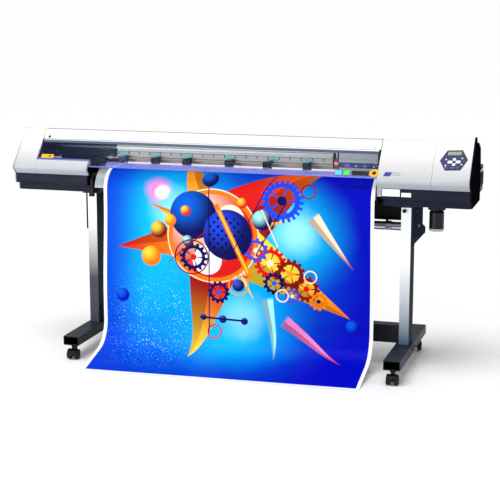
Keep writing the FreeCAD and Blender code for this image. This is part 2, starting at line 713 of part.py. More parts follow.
NODES = {
    "stand_feet": stand_feet, "stand_posts": stand_posts, "crossbar": crossbar,
    "roll_holders": roll_holders, "media_shaft": media_shaft,
    "stand_bolts": stand_bolts, "base_beam": base_beam, "side_frames": side_frames,
    "left_tray": left_tray, "right_tray": right_tray, "left_cover": left_cover,
    "right_cover": right_cover, "control_pod": control_pod, "rear_cover": rear_cover,
    "power_inlet": power_inlet, "power_switch": power_switch, "platen": platen,
    "rear_guide": rear_guide, "apron": apron, "printed_sheet": printed_sheet,
    "grit_roller": grit_roller, "pinch_arms": pinch_arms, "pinch_rollers": pinch_rollers,
    "loading_lever": loading_lever, "guide_rail": guide_rail, "motors": motors,
    "drive_belt": drive_belt, "print_carriage": print_carriage, "cutter_holder": cutter_holder,
    "cap_station": cap_station, "cover_panel": cover_panel, "cover_bar": cover_bar,
    "cover_window": cover_window, "ink_bay": ink_bay, "main_board": main_board,
    "drain_bottle": drain_bottle, "panel_bezel": panel_bezel, "lcd_screen": lcd_screen,
}


def all_nodes():
    shapes = {name: make() for name, make in NODES.items()}
    shapes["drive_pulley"] = pulley(PULLEY_X[1], 0)
    shapes["idler_pulley"] = pulley(PULLEY_X[0], 4 + RUN_FIT)
    for x, side in zip(POST_X, ("left", "right")):
        for y, end in zip(CASTER_Y, ("front", "rear")):
            shapes["caster_fork_%s_%s" % (end, side)] = caster_fork(x, y)
            shapes["caster_wheels_%s_%s" % (end, side)] = caster_wheels(x, y)
    for index, colour in enumerate(CARTRIDGE_COLOURS):
        shapes["ink_cartridge_" + colour] = ink_cartridge(index)
    for name in CURSOR_KEYS:
        shapes["cursor_key_" + name] = cursor_key(name)
    for name in ROUND_KEYS:
        shapes["key_" + name] = round_key(name)
    return shapes


os.makedirs("parts", exist_ok=True)
for node, shape in all_nodes().items():
    shape.exportStep("parts/%s.step" % node)
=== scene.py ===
import math

import bmesh
import bpy
from mathutils import Matrix, Vector


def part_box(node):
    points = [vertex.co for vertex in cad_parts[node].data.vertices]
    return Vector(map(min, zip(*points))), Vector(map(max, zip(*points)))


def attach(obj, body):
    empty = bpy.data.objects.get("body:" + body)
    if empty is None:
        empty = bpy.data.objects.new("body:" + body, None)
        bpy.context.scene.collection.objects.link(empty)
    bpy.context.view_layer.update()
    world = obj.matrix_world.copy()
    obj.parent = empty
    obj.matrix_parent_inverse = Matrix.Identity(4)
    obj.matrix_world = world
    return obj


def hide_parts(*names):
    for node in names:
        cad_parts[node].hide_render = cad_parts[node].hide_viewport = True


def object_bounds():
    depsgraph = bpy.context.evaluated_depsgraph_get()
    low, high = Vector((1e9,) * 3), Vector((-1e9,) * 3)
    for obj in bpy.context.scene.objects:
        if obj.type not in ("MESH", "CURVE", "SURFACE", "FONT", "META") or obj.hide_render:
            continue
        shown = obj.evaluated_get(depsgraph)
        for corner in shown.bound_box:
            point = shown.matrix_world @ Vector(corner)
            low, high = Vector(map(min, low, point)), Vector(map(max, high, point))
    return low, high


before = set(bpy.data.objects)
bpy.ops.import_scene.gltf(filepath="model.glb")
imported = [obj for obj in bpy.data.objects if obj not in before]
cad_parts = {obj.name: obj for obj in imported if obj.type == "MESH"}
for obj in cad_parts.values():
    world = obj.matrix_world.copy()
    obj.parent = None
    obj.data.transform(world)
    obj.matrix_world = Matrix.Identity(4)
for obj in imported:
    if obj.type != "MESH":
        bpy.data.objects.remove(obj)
cad_low, cad_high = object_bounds()

X, Y, Z = Vector((1, 0, 0)), Vector((0, 1, 0)), Vector((0, 0, 1))

# ---- outlines of the body, as (y, z) in metres ----
RIDGE = (0.035, 1.116)
NOSE_TOP = (-0.127, 0.943)
NOSE_BOTTOM = (-0.127, 0.930)
CHIN_EDGE = (-0.100, 0.903)
POD_RIDGE = (0.028, 1.140)
POD_NOSE = (-0.131, 0.957)
COVER_REAR = (0.072, 1.114)
SLOPE = (Vector(NOSE_TOP) - Vector(RIDGE)).normalized()
SLOPE_LEN = (Vector(NOSE_TOP) - Vector(RIDGE)).length
SLOPE_OUT = Vector((SLOPE.y, -SLOPE.x))
WALL = 0.003
CHIN_TOP = 0.194
BAR = (0.062, 0.082)
WINDOW_END = 0.226

# ---- places along the machine ----
BODY_END = cad_high.x
WINDOW_LEFT = -1.035
FEED_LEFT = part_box("printed_sheet")[0].x - 0.084
FEED_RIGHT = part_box("cover_panel")[1].x + 0.002
POD_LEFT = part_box("control_pod")[0].x
POD_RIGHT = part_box("control_pod")[1].x
END_ROUND = 0.018
BODY_MIDDLE = Vector((0.05, 0.965))
BODY_REACH = 0.15
HINGE_X = (-0.960, -0.420, 0.120, 0.640)
HINGE = (0.066, 1.110)
PINCH_X = (-0.650, -0.475, -0.307, -0.083, 0.115, 0.318, 0.560)
POST_X = (-0.780, 0.836)
STAND_Y, FOOT_HALF, CASTER_INSET = 0.065, 0.368, 0.045
CASTER_Y = (STAND_Y - FOOT_HALF + CASTER_INSET, STAND_Y + FOOT_HALF - CASTER_INSET)
SHEET_LENGTH = 1.372


def on_slope(s, out=0.0):
    """(y, z) of a point s down the sloping front and out above it."""
    return tuple(Vector(RIDGE) + SLOPE * s + SLOPE_OUT * out)


def slope_strip(start, end, low, high):
    """Section of a flat strip between two places down the slope and two heights above it."""
    return [on_slope(start, low), on_slope(start, high), on_slope(end, high), on_slope(end, low)]


def rect(left, top, right, bottom):
    return [(left, top), (right, top), (right, bottom), (left, bottom)]


# ---- materials ----

def tone(red, green, blue):
    """Linear colour of an 8-bit display colour."""
    values = []
    for channel in (red, green, blue):
        c = channel / 255
        values.append(c / 12.92 if c <= 0.04045 else ((c + 0.055) / 1.055) ** 2.4)
    return values


def shade(color, factor):
    return [min(1.0, c * factor) for c in color] + [1.0]


def ink(red, green, blue):
    return [*tone(red, green, blue), 1]


class Surface:
    """A node material around one Principled shader, with its own object coordinates."""

    def __init__(self, name):
        self.material = bpy.data.materials.new(name)
        self.material.use_nodes = True
        self.tree = self.material.node_tree
        self.shader = self.tree.nodes["Principled BSDF"]
        self.place = self.node("ShaderNodeTexCoord").outputs["Object"]

    def node(self, kind, **settings):
        made = self.tree.nodes.new(kind)
        for key, value in settings.items():
            setattr(made, key, value)
        return made

    def link(self, source, target):
        self.tree.links.new(source, target)

    def noise(self, scale, stretch=(1, 1, 1), detail=4.0, rough=0.55):
        mapping = self.node("ShaderNodeMapping")
        mapping.inputs["Scale"].default_value = stretch
        self.link(self.place, mapping.inputs["Vector"])
        noise = self.node("ShaderNodeTexNoise")
        noise.inputs["Scale"].default_value = scale
        noise.inputs["Detail"].default_value = detail
        noise.inputs["Roughness"].default_value = rough
        self.link(mapping.outputs["Vector"], noise.inputs["Vector"])
        return noise.outputs["Fac"]

    def mapped(self, value, source, target, smooth=False):
        settings = {"clamp": False, "interpolation_type": "SMOOTHSTEP"} if smooth else {"clamp": True}
        node = self.node("ShaderNodeMapRange", **settings)
        for index, number in enumerate((*source, *target)):
            node.inputs[index + 1].default_value = number
        self.link(value, node.inputs["Value"])
        return node.outputs["Result"]

    def mixed(self, factor, first, second):
        """Colour between two, each a colour or a socket."""
        mix = self.node("ShaderNodeMix", data_type="RGBA")
        self.link(factor, mix.inputs["Factor"])
        for value, socket in ((first, mix.inputs[6]), (second, mix.inputs[7])):
            if isinstance(value, bpy.types.NodeSocket):
                self.link(value, socket)
            else:
                socket.default_value = value
        return mix.outputs[2]

    def bumped(self, height, strength, depth):
        bump = self.node("ShaderNodeBump")
        bump.inputs["Strength"].default_value = strength
        bump.inputs["Distance"].default_value = depth
        self.link(height, bump.inputs["Height"])
        self.link(bump.outputs["Normal"], self.shader.inputs["Normal"])

    def set(self, **sockets):
        for key, value in sockets.items():
            self.shader.inputs[key.replace("_", " ")].default_value = value


def finish(name, color, rough, metal=0.0, mottle=0.04, grain=(700, 0.12, 0.0002), stretch=(1, 1, 1),
           wear=0.0, wear_color=(0.5, 0.5, 0.5), painted_shade=None, **sockets):
    """Moulded, painted or metal finish: slow colour drift, patchy gloss, fine grain and light scuffs.
    painted_shade is (low z, high z, colour at the low end): a painted shade, darker towards the bottom."""
    s = Surface(name)
    drift = s.noise(3.5, stretch)
    tint = s.mixed(drift, shade(color, 1 - mottle), shade(color, 1 + mottle))
    # painted shade: the colour blends into the low colour towards the bottom
    if painted_shade:
        height = s.node("ShaderNodeSeparateXYZ")
        s.link(s.place, height.inputs[0])
        share = s.mapped(height.outputs["Z"], painted_shade[:2], (0, 1))
        tint = s.mixed(share, shade(painted_shade[2], 1.0), tint)
    if wear:
        patches = s.mapped(s.noise(38, stretch, 8, 0.7), (0.60, 0.74), (0, wear))
        tint = s.mixed(patches, tint, [*wear_color, 1.0])
    s.link(tint, s.shader.inputs["Base Color"])
    limits = (max(0.02, rough - 0.07), min(1, rough + 0.08))
    gloss = s.mapped(s.noise(22, stretch, 5, 0.6), (0.3, 0.7), limits)
    s.link(gloss, s.shader.inputs["Roughness"])
    if grain:
        s.bumped(s.noise(grain[0], stretch, 3, 0.6), grain[1], grain[2])
    s.set(Metallic=metal, **sockets)
    return s.material


# painted shade: the white cover turns cool grey towards its lower edge
COVER = finish("cover_plastic", tone(238, 232, 230), 0.5, mottle=0.012, grain=(900, 0.10, 0.0002),
               painted_shade=(0.915, 1.085, tone(168, 172, 180)), Specular_IOR_Level=0.3)
# painted shade: dark inner faces of the white covers, darkening the interior; also the colour of the hinge
# knuckles
COVER_INSIDE_SHADE_AND_HINGES = finish("cover_inside_painted_shade_and_hinges", tone(34, 37, 48), 0.6, Specular_IOR_Level=0.2)
# painted shade: grey for the flat top of the front cover's ridge
RIDGE_PAINTED_SHADE = finish("ridge_top_painted_shade", tone(120, 122, 128), 0.5, Specular_IOR_Level=0.2)
# black of the side frames and pinch arms; also a painted shade panel under the left part of the guide rail
END_BLACK_AND_PAINTED_SHADE = finish("end_black_and_painted_shade", tone(9, 9, 13), 0.8, mottle=0.10, grain=(800, 0.2, 0.0002),
                   Specular_IOR_Level=0.0)
# painted light: a lighter copy of the end black, for the lit faces at the right end
END_SLATE_PAINTED_LIGHT = finish("end_slate_painted_light", tone(24, 26, 38), 0.8, mottle=0.10, grain=(800, 0.2, 0.0002),
                   Specular_IOR_Level=0.0)
NAVY = finish("navy_plastic", tone(30, 33, 49), 0.42, mottle=0.08, grain=(800, 0.2, 0.0002), wear=0.10,
              wear_color=(0.05, 0.06, 0.09), Specular_IOR_Level=0.10)
BLACK = finish("black_plastic", tone(12, 12, 16), 0.45, mottle=0.10, grain=(800, 0.2, 0.0002),
               Specular_IOR_Level=0.16)
DARK_PAINT = finish("dark_paint", tone(14, 16, 26), 0.45, mottle=0.10, grain=(1400, 0.3, 0.0002), wear=0.15,
                    wear_color=(0.03, 0.035, 0.045), Specular_IOR_Level=0.2)
# painted light: a lighter copy of the dark paint for the feet's upward faces
FOOT_TOP_PAINTED_LIGHT = finish("foot_top_painted_light", tone(30, 36, 50), 0.4, mottle=0.08, grain=(1400, 0.3, 0.0002), wear=0.15,
                  wear_color=(0.04, 0.045, 0.055), Specular_IOR_Level=0.1)
# slate paint of the roll holders; also painted shade on the left part of the guide rail
SLATE_PAINT_AND_SHADE = finish("slate_paint", tone(38, 44, 58), 0.5, mottle=0.06, grain=(1300, 0.3, 0.0002), wear=0.12,
               wear_color=(0.03, 0.035, 0.05), Specular_IOR_Level=0.0)
# painted shade and painted reflection: each post's metal darkens to blue-grey towards the floor, more on the
# left post; the side copy is a painted shade for the side faces
POST_LEFT_PAINTED_SHADE = finish("post_metal_left_painted_shade", tone(238, 240, 236), 0.38, metal=0.2, mottle=0.02,
                   grain=(260, 0.15, 0.0001), stretch=(1, 1, 0.06), painted_shade=(0.36, 0.72, tone(42, 48, 66)))
POST_RIGHT_PAINTED_SHADE = finish("post_metal_right_painted_shade", tone(244, 247, 248), 0.38, metal=0.2, mottle=0.02,
                    grain=(260, 0.15, 0.0001), stretch=(1, 1, 0.06), painted_shade=(0.14, 0.54, tone(84, 104, 130)))
POST_SIDE_PAINTED_SHADE = finish("post_metal_side_painted_shade", tone(62, 68, 74), 0.5, mottle=0.05, grain=(260, 0.15, 0.0001),
                   stretch=(1, 1, 0.06), Specular_IOR_Level=0.0)
STEEL = finish("steel", tone(150, 150, 168), 0.28, metal=1.0, mottle=0.05, grain=(420, 0.2, 0.0001),
               stretch=(0.05, 1, 1))
BLACK_STEEL = finish("steel_black", tone(24, 24, 27), 0.35, metal=0.4, mottle=0.1, wear=0.3,
                     wear_color=(0.08, 0.08, 0.08), Specular_IOR_Level=0.2)
ALUMINIUM = finish("aluminium", tone(172, 178, 190), 0.36, metal=0.6, mottle=0.03, grain=(300, 0.15, 0.0001),
                   stretch=(0.04, 1, 1))
# painted shade: a darker copy of the aluminium, for the front bar's lower half and the rail's left rib
ALUMINIUM_PAINTED_SHADE = finish("aluminium_painted_shade", tone(78, 92, 106), 0.4, metal=0.3, mottle=0.05,
                        grain=(300, 0.15, 0.0001), stretch=(0.04, 1, 1), Specular_IOR_Level=0.2)
RAIL_PALE = finish("rail_pale", tone(248, 248, 236), 0.45, metal=0.05, mottle=0.05, stretch=(0.05, 1, 1))
PLATEN = finish("platen_metal", tone(158, 164, 170), 0.42, metal=0.2, mottle=0.04, grain=(500, 0.15, 0.0001),
                stretch=(0.05, 1, 1))
RUBBER = finish("rubber", tone(16, 16, 18), 0.75, mottle=0.12, grain=(700, 0.4, 0.0004),
                Specular_IOR_Level=0.2)
MOTOR = finish("motor_black", tone(26, 26, 29), 0.5, mottle=0.1, Specular_IOR_Level=0.25)
BOARD = finish("circuit_board", tone(14, 52, 32), 0.45, mottle=0.15, grain=(180, 0.3, 0.0003))
BOTTLE = finish("bottle_plastic", tone(16, 18, 30), 0.22, mottle=0.05, Specular_IOR_Level=0.25)
BOTTLE_PALE = finish("bottle_pale", tone(172, 172, 176), 0.3, mottle=0.05)
PANEL_NAVY = finish("panel_navy", tone(20, 26, 82), 0.3, mottle=0.05, grain=(1200, 0.05, 0.0001),
                    Specular_IOR_Level=0.2)
KEY_WHITE = finish("key_white", tone(236, 240, 250), 0.45, mottle=0.02, Specular_IOR_Level=0.3)
MARK_VIOLET = finish("mark_violet", tone(128, 118, 200), 0.45, Specular_IOR_Level=0.2)
TREAD = finish("caster_tread", tone(14, 14, 17), 0.55, mottle=0.12, wear=0.25, wear_color=(0.03, 0.03, 0.03),
               Specular_IOR_Level=0.2)
CARTRIDGE = finish("cartridge_plastic", tone(12, 12, 14), 0.5, mottle=0.06, Specular_IOR_Level=0.02)
CARRIAGE = finish("carriage_plastic", tone(176, 184, 190), 0.4, mottle=0.04)
CARRIAGE_BLUE = finish("carriage_blue", tone(34, 62, 128), 0.36, mottle=0.08, Specular_IOR_Level=0.25)
CARRIAGE_VIOLET = finish("carriage_violet", tone(92, 84, 196), 0.4, Specular_IOR_Level=0.25)
RED = finish("red_plastic", tone(196, 44, 56), 0.42, mottle=0.06, Specular_IOR_Level=0.25)
PINK = finish("pink_plastic", tone(244, 200, 190), 0.42)
CYAN = finish("cyan_plastic", tone(60, 200, 250), 0.4, Specular_IOR_Level=0.25)
GREEN = finish("green_plastic", tone(60, 214, 70), 0.4, Specular_IOR_Level=0.25)
YELLOW = finish("yellow_label", tone(246, 178, 16), 0.5, mottle=0.03, Specular_IOR_Level=0.2)
MAGENTA = finish("magenta_label", tone(205, 40, 120), 0.45, Specular_IOR_Level=0.2)
# white labels; also painted highlights on the carriage front
WHITE = finish("white_label_and_painted_highlight", tone(250, 250, 246), 0.5, mottle=0.01)
SCALE_PALE = finish("scale_pale", tone(232, 234, 228), 0.4, mottle=0.03)
# painted glint: pale cyan for the scale segments above the pinch arms
SCALE_CYAN_PAINTED_GLINT = finish("scale_cyan_painted_glint", tone(160, 244, 246), 0.4, mottle=0.03)
BEIGE = finish("feed_beige", tone(250, 238, 220), 0.5, mottle=0.03)
BLUE_LABEL = finish("blue_label", tone(34, 50, 146), 0.45, mottle=0.03, Specular_IOR_Level=0.2)
GREY_LABEL = finish("grey_label", tone(158, 160, 172), 0.45, mottle=0.03, Specular_IOR_Level=0.2)
# painted glint: the lit edge of the acrylic window
WINDOW_EDGE_PAINTED_GLINT = finish("window_edge_painted_glint", tone(96, 112, 196), 0.3, mottle=0.03, Specular_IOR_Level=0.25)


def window_material(name, color, alpha):
    s = Surface(name)
    smears = s.noise(7, (0.3, 1, 1), 6, 0.6)
    s.link(s.mixed(smears, shade(color, 0.9), shade(color, 1.1)), s.shader.inputs["Base Color"])
    s.link(s.mapped(smears, (0.3, 0.7), (0.04, 0.10)), s.shader.inputs["Roughness"])
    s.set(Alpha=alpha, IOR=1.49, Specular_IOR_Level=0.4)
    return s.material


def lcd_material():
    s = Surface("lcd_green")
    glow = s.noise(60, (1, 1, 1), 2)
    color = s.mixed(glow, shade(tone(24, 78, 22), 0.9), shade(tone(44, 104, 30), 1.0))
    s.link(color, s.shader.inputs["Base Color"])
    s.set(Roughness=0.15, Coat_Weight=0.6)
    return s.material


WINDOW = window_material("smoked_window", tone(60, 80, 116), 0.07)
# painted reflection: violet band on the window's lower part, for the veil over the print
WINDOW_PAINTED_REFLECTION = window_material("window_band_painted_reflection", tone(134, 136, 232), 0.30)
LCD = lcd_material()
LCD_BAR = finish("lcd_bar", tone(84, 140, 70), 0.3)


# ---- artwork on the sheet ----

class Field:
    """A number that varies over the sheet: a node's output with arithmetic."""

    def __init__(self, surface, socket):
        self.surface, self.socket = surface, socket

    def math(self, operation, *others):
        node = self.surface.node("ShaderNodeMath", operation=operation)
        for index, value in enumerate((self, *others)):
            if isinstance(value, Field):
                self.surface.link(value.socket, node.inputs[index])
            else:
                node.inputs[index].default_value = value
        return Field(self.surface, node.outputs[0])

    def __add__(self, other):
        return self.math("ADD", other)

    def __sub__(self, other):
        return self.math("SUBTRACT", other)

    def __mul__(self, other):
        return self.math("MULTIPLY", other)

    def flipped(self):
        return self.math("MULTIPLY_ADD", -1.0, 1.0)

    def within(self, edge, blur=0.002):
        """1 where the field is under edge, 0 above it."""
        return Field(self.surface, self.surface.mapped(self.socket, (edge - blur, edge + blur), (1, 0), True))

    def spread(self, source, target=(0, 1)):
        return Field(self.surface, self.surface.mapped(self.socket, source, target, True))


class Artwork:
    """Abstract print: layers of plain shapes, placed in metres across and down the sheet."""

    def __init__(self, surface, u, v):
        self.surface, self.u, self.v = surface, u, v
        self.color = None

    def paint(self, mask, color):
        self.color = self.surface.mixed(mask.socket, self.color, color)

    def distance(self, cu, cv):
        du, dv = self.u - cu, self.v - cv
        return (du * du + dv * dv).math("SQRT")

    def turned(self, cu, cv, degrees):
        """Coordinates along and across a direction from a point."""
        c, s = math.cos(math.radians(degrees)), math.sin(math.radians(degrees))
        du, dv = self.u - cu, self.v - cv
        return du * c + dv * s, dv * c - du * s

    def disc(self, cu, cv, radius, color, blur=0.002):
        self.paint(self.distance(cu, cv).within(radius, blur), color)

    def ring(self, cu, cv, radius, half_width, color):
        self.paint((self.distance(cu, cv) - radius).math("ABSOLUTE").within(half_width, 0.0015), color)

    def ball(self, cu, cv, radius, dark, light):
        """Disc lit from its upper left."""
        glow = self.distance(cu - radius * 0.35, cv - radius * 0.4).spread((0, radius * 1.25), (1, 0))
        self.disc(cu, cv, radius, self.surface.mixed(glow.socket, dark, light))

    def gear(self, cu, cv, radius, teeth, color, hub):
        du, dv = self.u - cu, self.v - cv
        angle = dv.math("ARCTAN2", du)
        tooth = (angle * teeth).math("SINE").spread((-0.3, 0.3), (-0.09, 0.09)) * radius
        reach = self.distance(cu, cv)
        rim = (reach - tooth).within(radius * 0.94)
        hole = reach.within(radius * 0.62).flipped()
        spoke = (angle * 2.5).math("SINE").math("ABSOLUTE").within(0.22, 0.05) * reach.within(radius * 0.66)
        self.paint((rim * hole).math("MAXIMUM", spoke), color)
        self.disc(cu, cv, radius * 0.22, hub)

    def shard(self, cu, cv, degrees, length, half_width, root, tip):
        """Tapered spike with a lit half and a shaded half."""
        along, across = self.turned(cu, cv, degrees)
        taper = half_width / (length + 0.12)
        width = along.math("MULTIPLY_ADD", -taper, taper * length)
        inside = (across.math("ABSOLUTE") - width).within(0.0, 0.0015) * along.spread((-0.13, -0.11))
        inside = inside * along.within(length - 0.004, 0.002)
        share = along.spread((length * 0.35, length)).socket
        blend = self.surface.mixed(share, root, tip)
        dark = self.surface.mixed(share, shade(root[:3], 0.50), shade(tip[:3], 0.68))
        half = across.spread((-0.001, 0.001))
        self.paint(inside, self.surface.mixed(half.socket, blend, dark))


class Ink:
    deep, azure, cyan, pale = ink(0, 8, 182), ink(0, 98, 222), ink(0, 200, 248), ink(170, 242, 250)
    orange, yellow, red, gold = ink(246, 120, 12), ink(255, 214, 60), ink(214, 24, 20), ink(232, 158, 40)
    night, violet, blue, rust = ink(6, 10, 84), ink(70, 74, 200), ink(28, 70, 226), ink(128, 16, 14)
    pink, white, cream, paper = ink(246, 130, 196), ink(250, 250, 252), ink(252, 226, 196), ink(246, 247, 252)
    edge_blue, dot = ink(2, 58, 208), ink(2, 4, 36)


STAR = (0.60, 0.52)


def paint_backdrop(art):
    s = art.surface
    cloud = Field(s, s.noise(2.6, (1, 1, 1), 5, 0.55))
    fine_cloud = Field(s, s.noise(11, (1, 1, 1), 6, 0.6))
    middle = art.distance(0.46, 0.72) + cloud * 0.24
    art.color = s.mixed(middle.spread((1.02, 0.34)).socket, Ink.deep, Ink.azure)
    for u, v, reach, strength, color in (
            (0.36, 0.46, 0.46, 0.95, Ink.cyan), (0.96, 0.50, 0.36, 1.0, Ink.cyan),
            (0.66, 0.90, 0.46, 0.9, Ink.cyan), (0.24, 0.82, 0.36, 0.6, Ink.cyan),
            (0.38, 0.42, 0.17, 0.8, Ink.pale), (0.99, 0.48, 0.16, 0.8, Ink.pale),
            (0.72, 0.92, 0.16, 0.6, Ink.pale), (0.285, 0.300, 0.085, 1.0, Ink.pink),
            (0.310, 0.315, 0.045, 1.0, Ink.white)):
        glow = (art.distance(u, v) + fine_cloud * 0.06).spread((reach + 0.03, 0.04), (0, strength))
        art.paint(glow, color)
    art.paint(art.u.spread((0.24, 0.02), (0, 0.8)), Ink.edge_blue)
    specks = Field(s, s.noise(150, (1, 1, 1), 2, 0.5)).spread((0.63, 0.70))
    art.paint(specks * art.distance(0.30, 1.00).spread((0.40, 0.10)), Ink.pale)


def paint_star(art):
    """Shards that fan out of one point, with a ball and discs over their roots."""
    for degrees, length, half_width, root, tip in (
            (246, 0.52, 0.140, Ink.gold, Ink.orange), (203, 0.40, 0.060, Ink.yellow, Ink.orange),
            (322, 0.74, 0.230, Ink.red, Ink.orange), (172, 0.53, 0.170, Ink.orange, Ink.red),
            (101, 0.66, 0.200, Ink.red, Ink.yellow), (30, 0.76, 0.190, Ink.yellow, Ink.orange),
            (60, 0.36, 0.050, Ink.cream, Ink.yellow), (345, 0.38, 0.050, Ink.orange, Ink.yellow)):
        art.shard(*STAR, degrees, length, half_width, root, tip)
    u, v = STAR
    art.ball(u - 0.03, v, 0.215, Ink.red, Ink.cream)
    art.ring(u - 0.03, v, 0.220, 0.012, Ink.orange)
    art.ring(u - 0.03, v, 0.232, 0.003, Ink.cream)
    art.ball(u - 0.13, v - 0.10, 0.120, Ink.night, Ink.azure)
    art.disc(u + 0.06, v - 0.09, 0.070, Ink.cream)
    art.disc(u - 0.06, v + 0.12, 0.075, Ink.white)


def paint_gears(art):
    u, v = STAR
    for gu, gv, radius, teeth, color, hub in (
            (u - 0.13, v + 0.11, 0.070, 14, Ink.night, Ink.red), (0.92, 0.33, 0.105, 22, Ink.blue, Ink.night),
            (0.86, 0.64, 0.080, 16, Ink.red, Ink.cream), (0.96, 0.69, 0.075, 14, Ink.rust, Ink.gold),
            (0.88, 0.74, 0.055, 12, Ink.night, Ink.azure), (1.04, 0.76, 0.065, 14, Ink.rust, Ink.red),
            (1.10, 0.82, 0.045, 10, Ink.orange, Ink.night), (0.79, 0.58, 0.060, 12, Ink.violet, Ink.cream),
            (0.97, 0.80, 0.038, 10, Ink.violet, Ink.white), (0.60, 0.80, 0.055, 12, Ink.night, Ink.violet)):
        art.gear(gu, gv, radius, teeth, color, hub)
    art.ball(u + 0.045, v - 0.01, 0.125, Ink.night, Ink.blue)
    dots = (art.u * 150).math("SINE") * (art.v * 150).math("SINE")
    art.paint(dots.spread((0.42, 0.55)) * art.distance(u + 0.03, v - 0.01).within(0.095), Ink.dot)


def paint_balls(art):
    for u, v, radius, dark, light in (
            (0.55, 0.235, 0.042, Ink.night, Ink.azure), (0.72, 0.35, 0.026, Ink.red, Ink.yellow),
            (0.25, 0.635, 0.050, Ink.orange, Ink.yellow), (0.29, 0.50, 0.042, Ink.rust, Ink.yellow),
            (0.35, 0.45, 0.030, Ink.orange, Ink.yellow), (0.43, 0.40, 0.026, Ink.red, Ink.yellow),
            (0.44, 0.55, 0.028, Ink.night, Ink.pale), (0.82, 0.43, 0.050, Ink.night, Ink.pale),
            (0.70, 0.76, 0.030, Ink.night, Ink.violet), (0.74, 0.70, 0.022, Ink.red, Ink.cream),
            (0.10, 0.84, 0.034, Ink.deep, Ink.azure), (1.27, 0.94, 0.036, Ink.deep, Ink.azure),
            (0.52, 0.93, 0.016, Ink.night, Ink.violet), (0.62, 0.935, 0.020, Ink.night, Ink.violet),
            (0.73, 0.94, 0.018, Ink.night, Ink.violet)):
        art.ball(u, v, radius, dark, light)


def paint_lines(art):
    for u, v, radius, color in (
            (0.70, 0.76, 0.048, Ink.gold), (0.92, 0.80, 0.030, Ink.cream), (1.06, 0.70, 0.030, Ink.cream),
            (0.46, 0.63, 0.085, Ink.rust), (0.58, 1.00, 0.034, Ink.red), (1.05, 0.28, 0.034, Ink.rust)):
        art.ring(u, v, radius, 0.0035, color)
    for u, v, degrees, length, half, color in (
            (0.55, 0.27, 90, 0.74, 0.0030, Ink.night), (0.585, 0.36, 64, 0.40, 0.012, Ink.orange),
            (0.60, 0.39, 64, 0.34, 0.004, Ink.yellow), (0.79, 0.60, 300, 0.30, 0.0030, Ink.night),
            (0.50, 0.93, 2, 0.24, 0.0050, Ink.night), (0.34, 0.66, 320, 0.26, 0.0030, Ink.rust),
            (0.88, 0.20, 118, 0.50, 0.0025, Ink.night), (0.90, 0.56, 246, 0.20, 0.0030, Ink.cream)):
        along, across = art.turned(u, v, degrees)
        inside = across.math("ABSOLUTE").within(half) * along.spread((0, 0.002)) * along.within(length)
        art.paint(inside, color)
    for u, v, degrees, length, half_width, root, tip in (
            (1.15, 0.50, 52, 0.20, 0.034, Ink.cream, Ink.red),
            (0.865, 0.94, 80, 0.24, 0.030, Ink.pale, Ink.azure),
            (1.03, 1.00, 36, 0.26, 0.032, Ink.pink, Ink.red)):
        art.shard(u, v, degrees, length, half_width, root, tip)


def artwork_material():
    s = Surface("printed_media")
    split = s.node("ShaderNodeSeparateXYZ")
    s.link(s.node("ShaderNodeUVMap", uv_map="sheet").outputs["UV"], split.inputs[0])
    u, v = Field(s, split.outputs["X"]), Field(s, split.outputs["Y"])
    art = Artwork(s, u, v)
    for layer in (paint_backdrop, paint_star, paint_gears, paint_balls, paint_lines):
        layer(art)
    border, blur = 0.017, 0.0008
    low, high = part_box("printed_sheet")
    half = (high.x - low.x) / 2
    inside = (u - half).math("ABSOLUTE").within(half - border, blur)
    inside = inside * v.within(SHEET_LENGTH - border, blur) * v.spread((0.020, 0.022))
    s.link(s.mixed(inside.socket, Ink.paper, art.color), s.shader.inputs["Base Color"])
    s.link(s.mapped(s.noise(30), (0.3, 0.7), (0.38, 0.48)), s.shader.inputs["Roughness"])
    s.bumped(s.noise(260, (1, 1, 1), 4), 0.04, 0.0001)
    s.set(Specular_IOR_Level=0.04)
    return s.material


ARTWORK = artwork_material()
PAPER_BACK = finish("paper_back", tone(238, 238, 236), 0.6, mottle=0.015)


# ---- mesh tools ----

def mesh_object(name, source, materials=()):
    """Object made from a finished bmesh, which is freed."""
    mesh = bpy.data.meshes.new(name)
    source.to_mesh(mesh)
    source.free()
    for material in materials:
        mesh.materials.append(material)
    obj = bpy.data.objects.new(name, mesh)
    bpy.context.scene.collection.objects.link(obj)
    return obj


def arc(centre, radius, start, end, steps):
    """(y, z) points round a centre between two angles in degrees."""
    turns = [math.radians(start + (end - start) * k / steps) for k in range(steps + 1)]
    return [Vector((centre[0] + radius * math.cos(t), centre[1] + radius * math.sin(t))) for t in turns]


def fillet(points, radii, steps=7):
    """Open (y, z) path with an arc at each corner listed in radii."""
    made = [Vector(points[0])]
    for i in range(1, len(points) - 1):
        corner, before, after = (Vector(points[k]) for k in (i, i - 1, i + 1))
        radius = radii.get(i, 0)
        back, ahead = (before - corner), (after - corner)
        half = back.angle(ahead) / 2
        if not radius or math.pi / 2 - half < 0.01:
            made.append(corner)
            continue
        reach = min(radius / math.tan(half), 0.48 * back.length, 0.48 * ahead.length)
        radius = reach * math.tan(half)
        centre = corner + (back.normalized() + ahead.normalized()).normalized() * radius / math.sin(half)
        first = corner + back.normalized() * reach - centre
        last = corner + ahead.normalized() * reach - centre
        sweep = first.angle_signed(last)
        for step in range(steps + 1):
            angle = -sweep * step / steps
            made.append(centre + Matrix.Rotation(angle, 2) @ first)
    return made + [Vector(points[-1])]


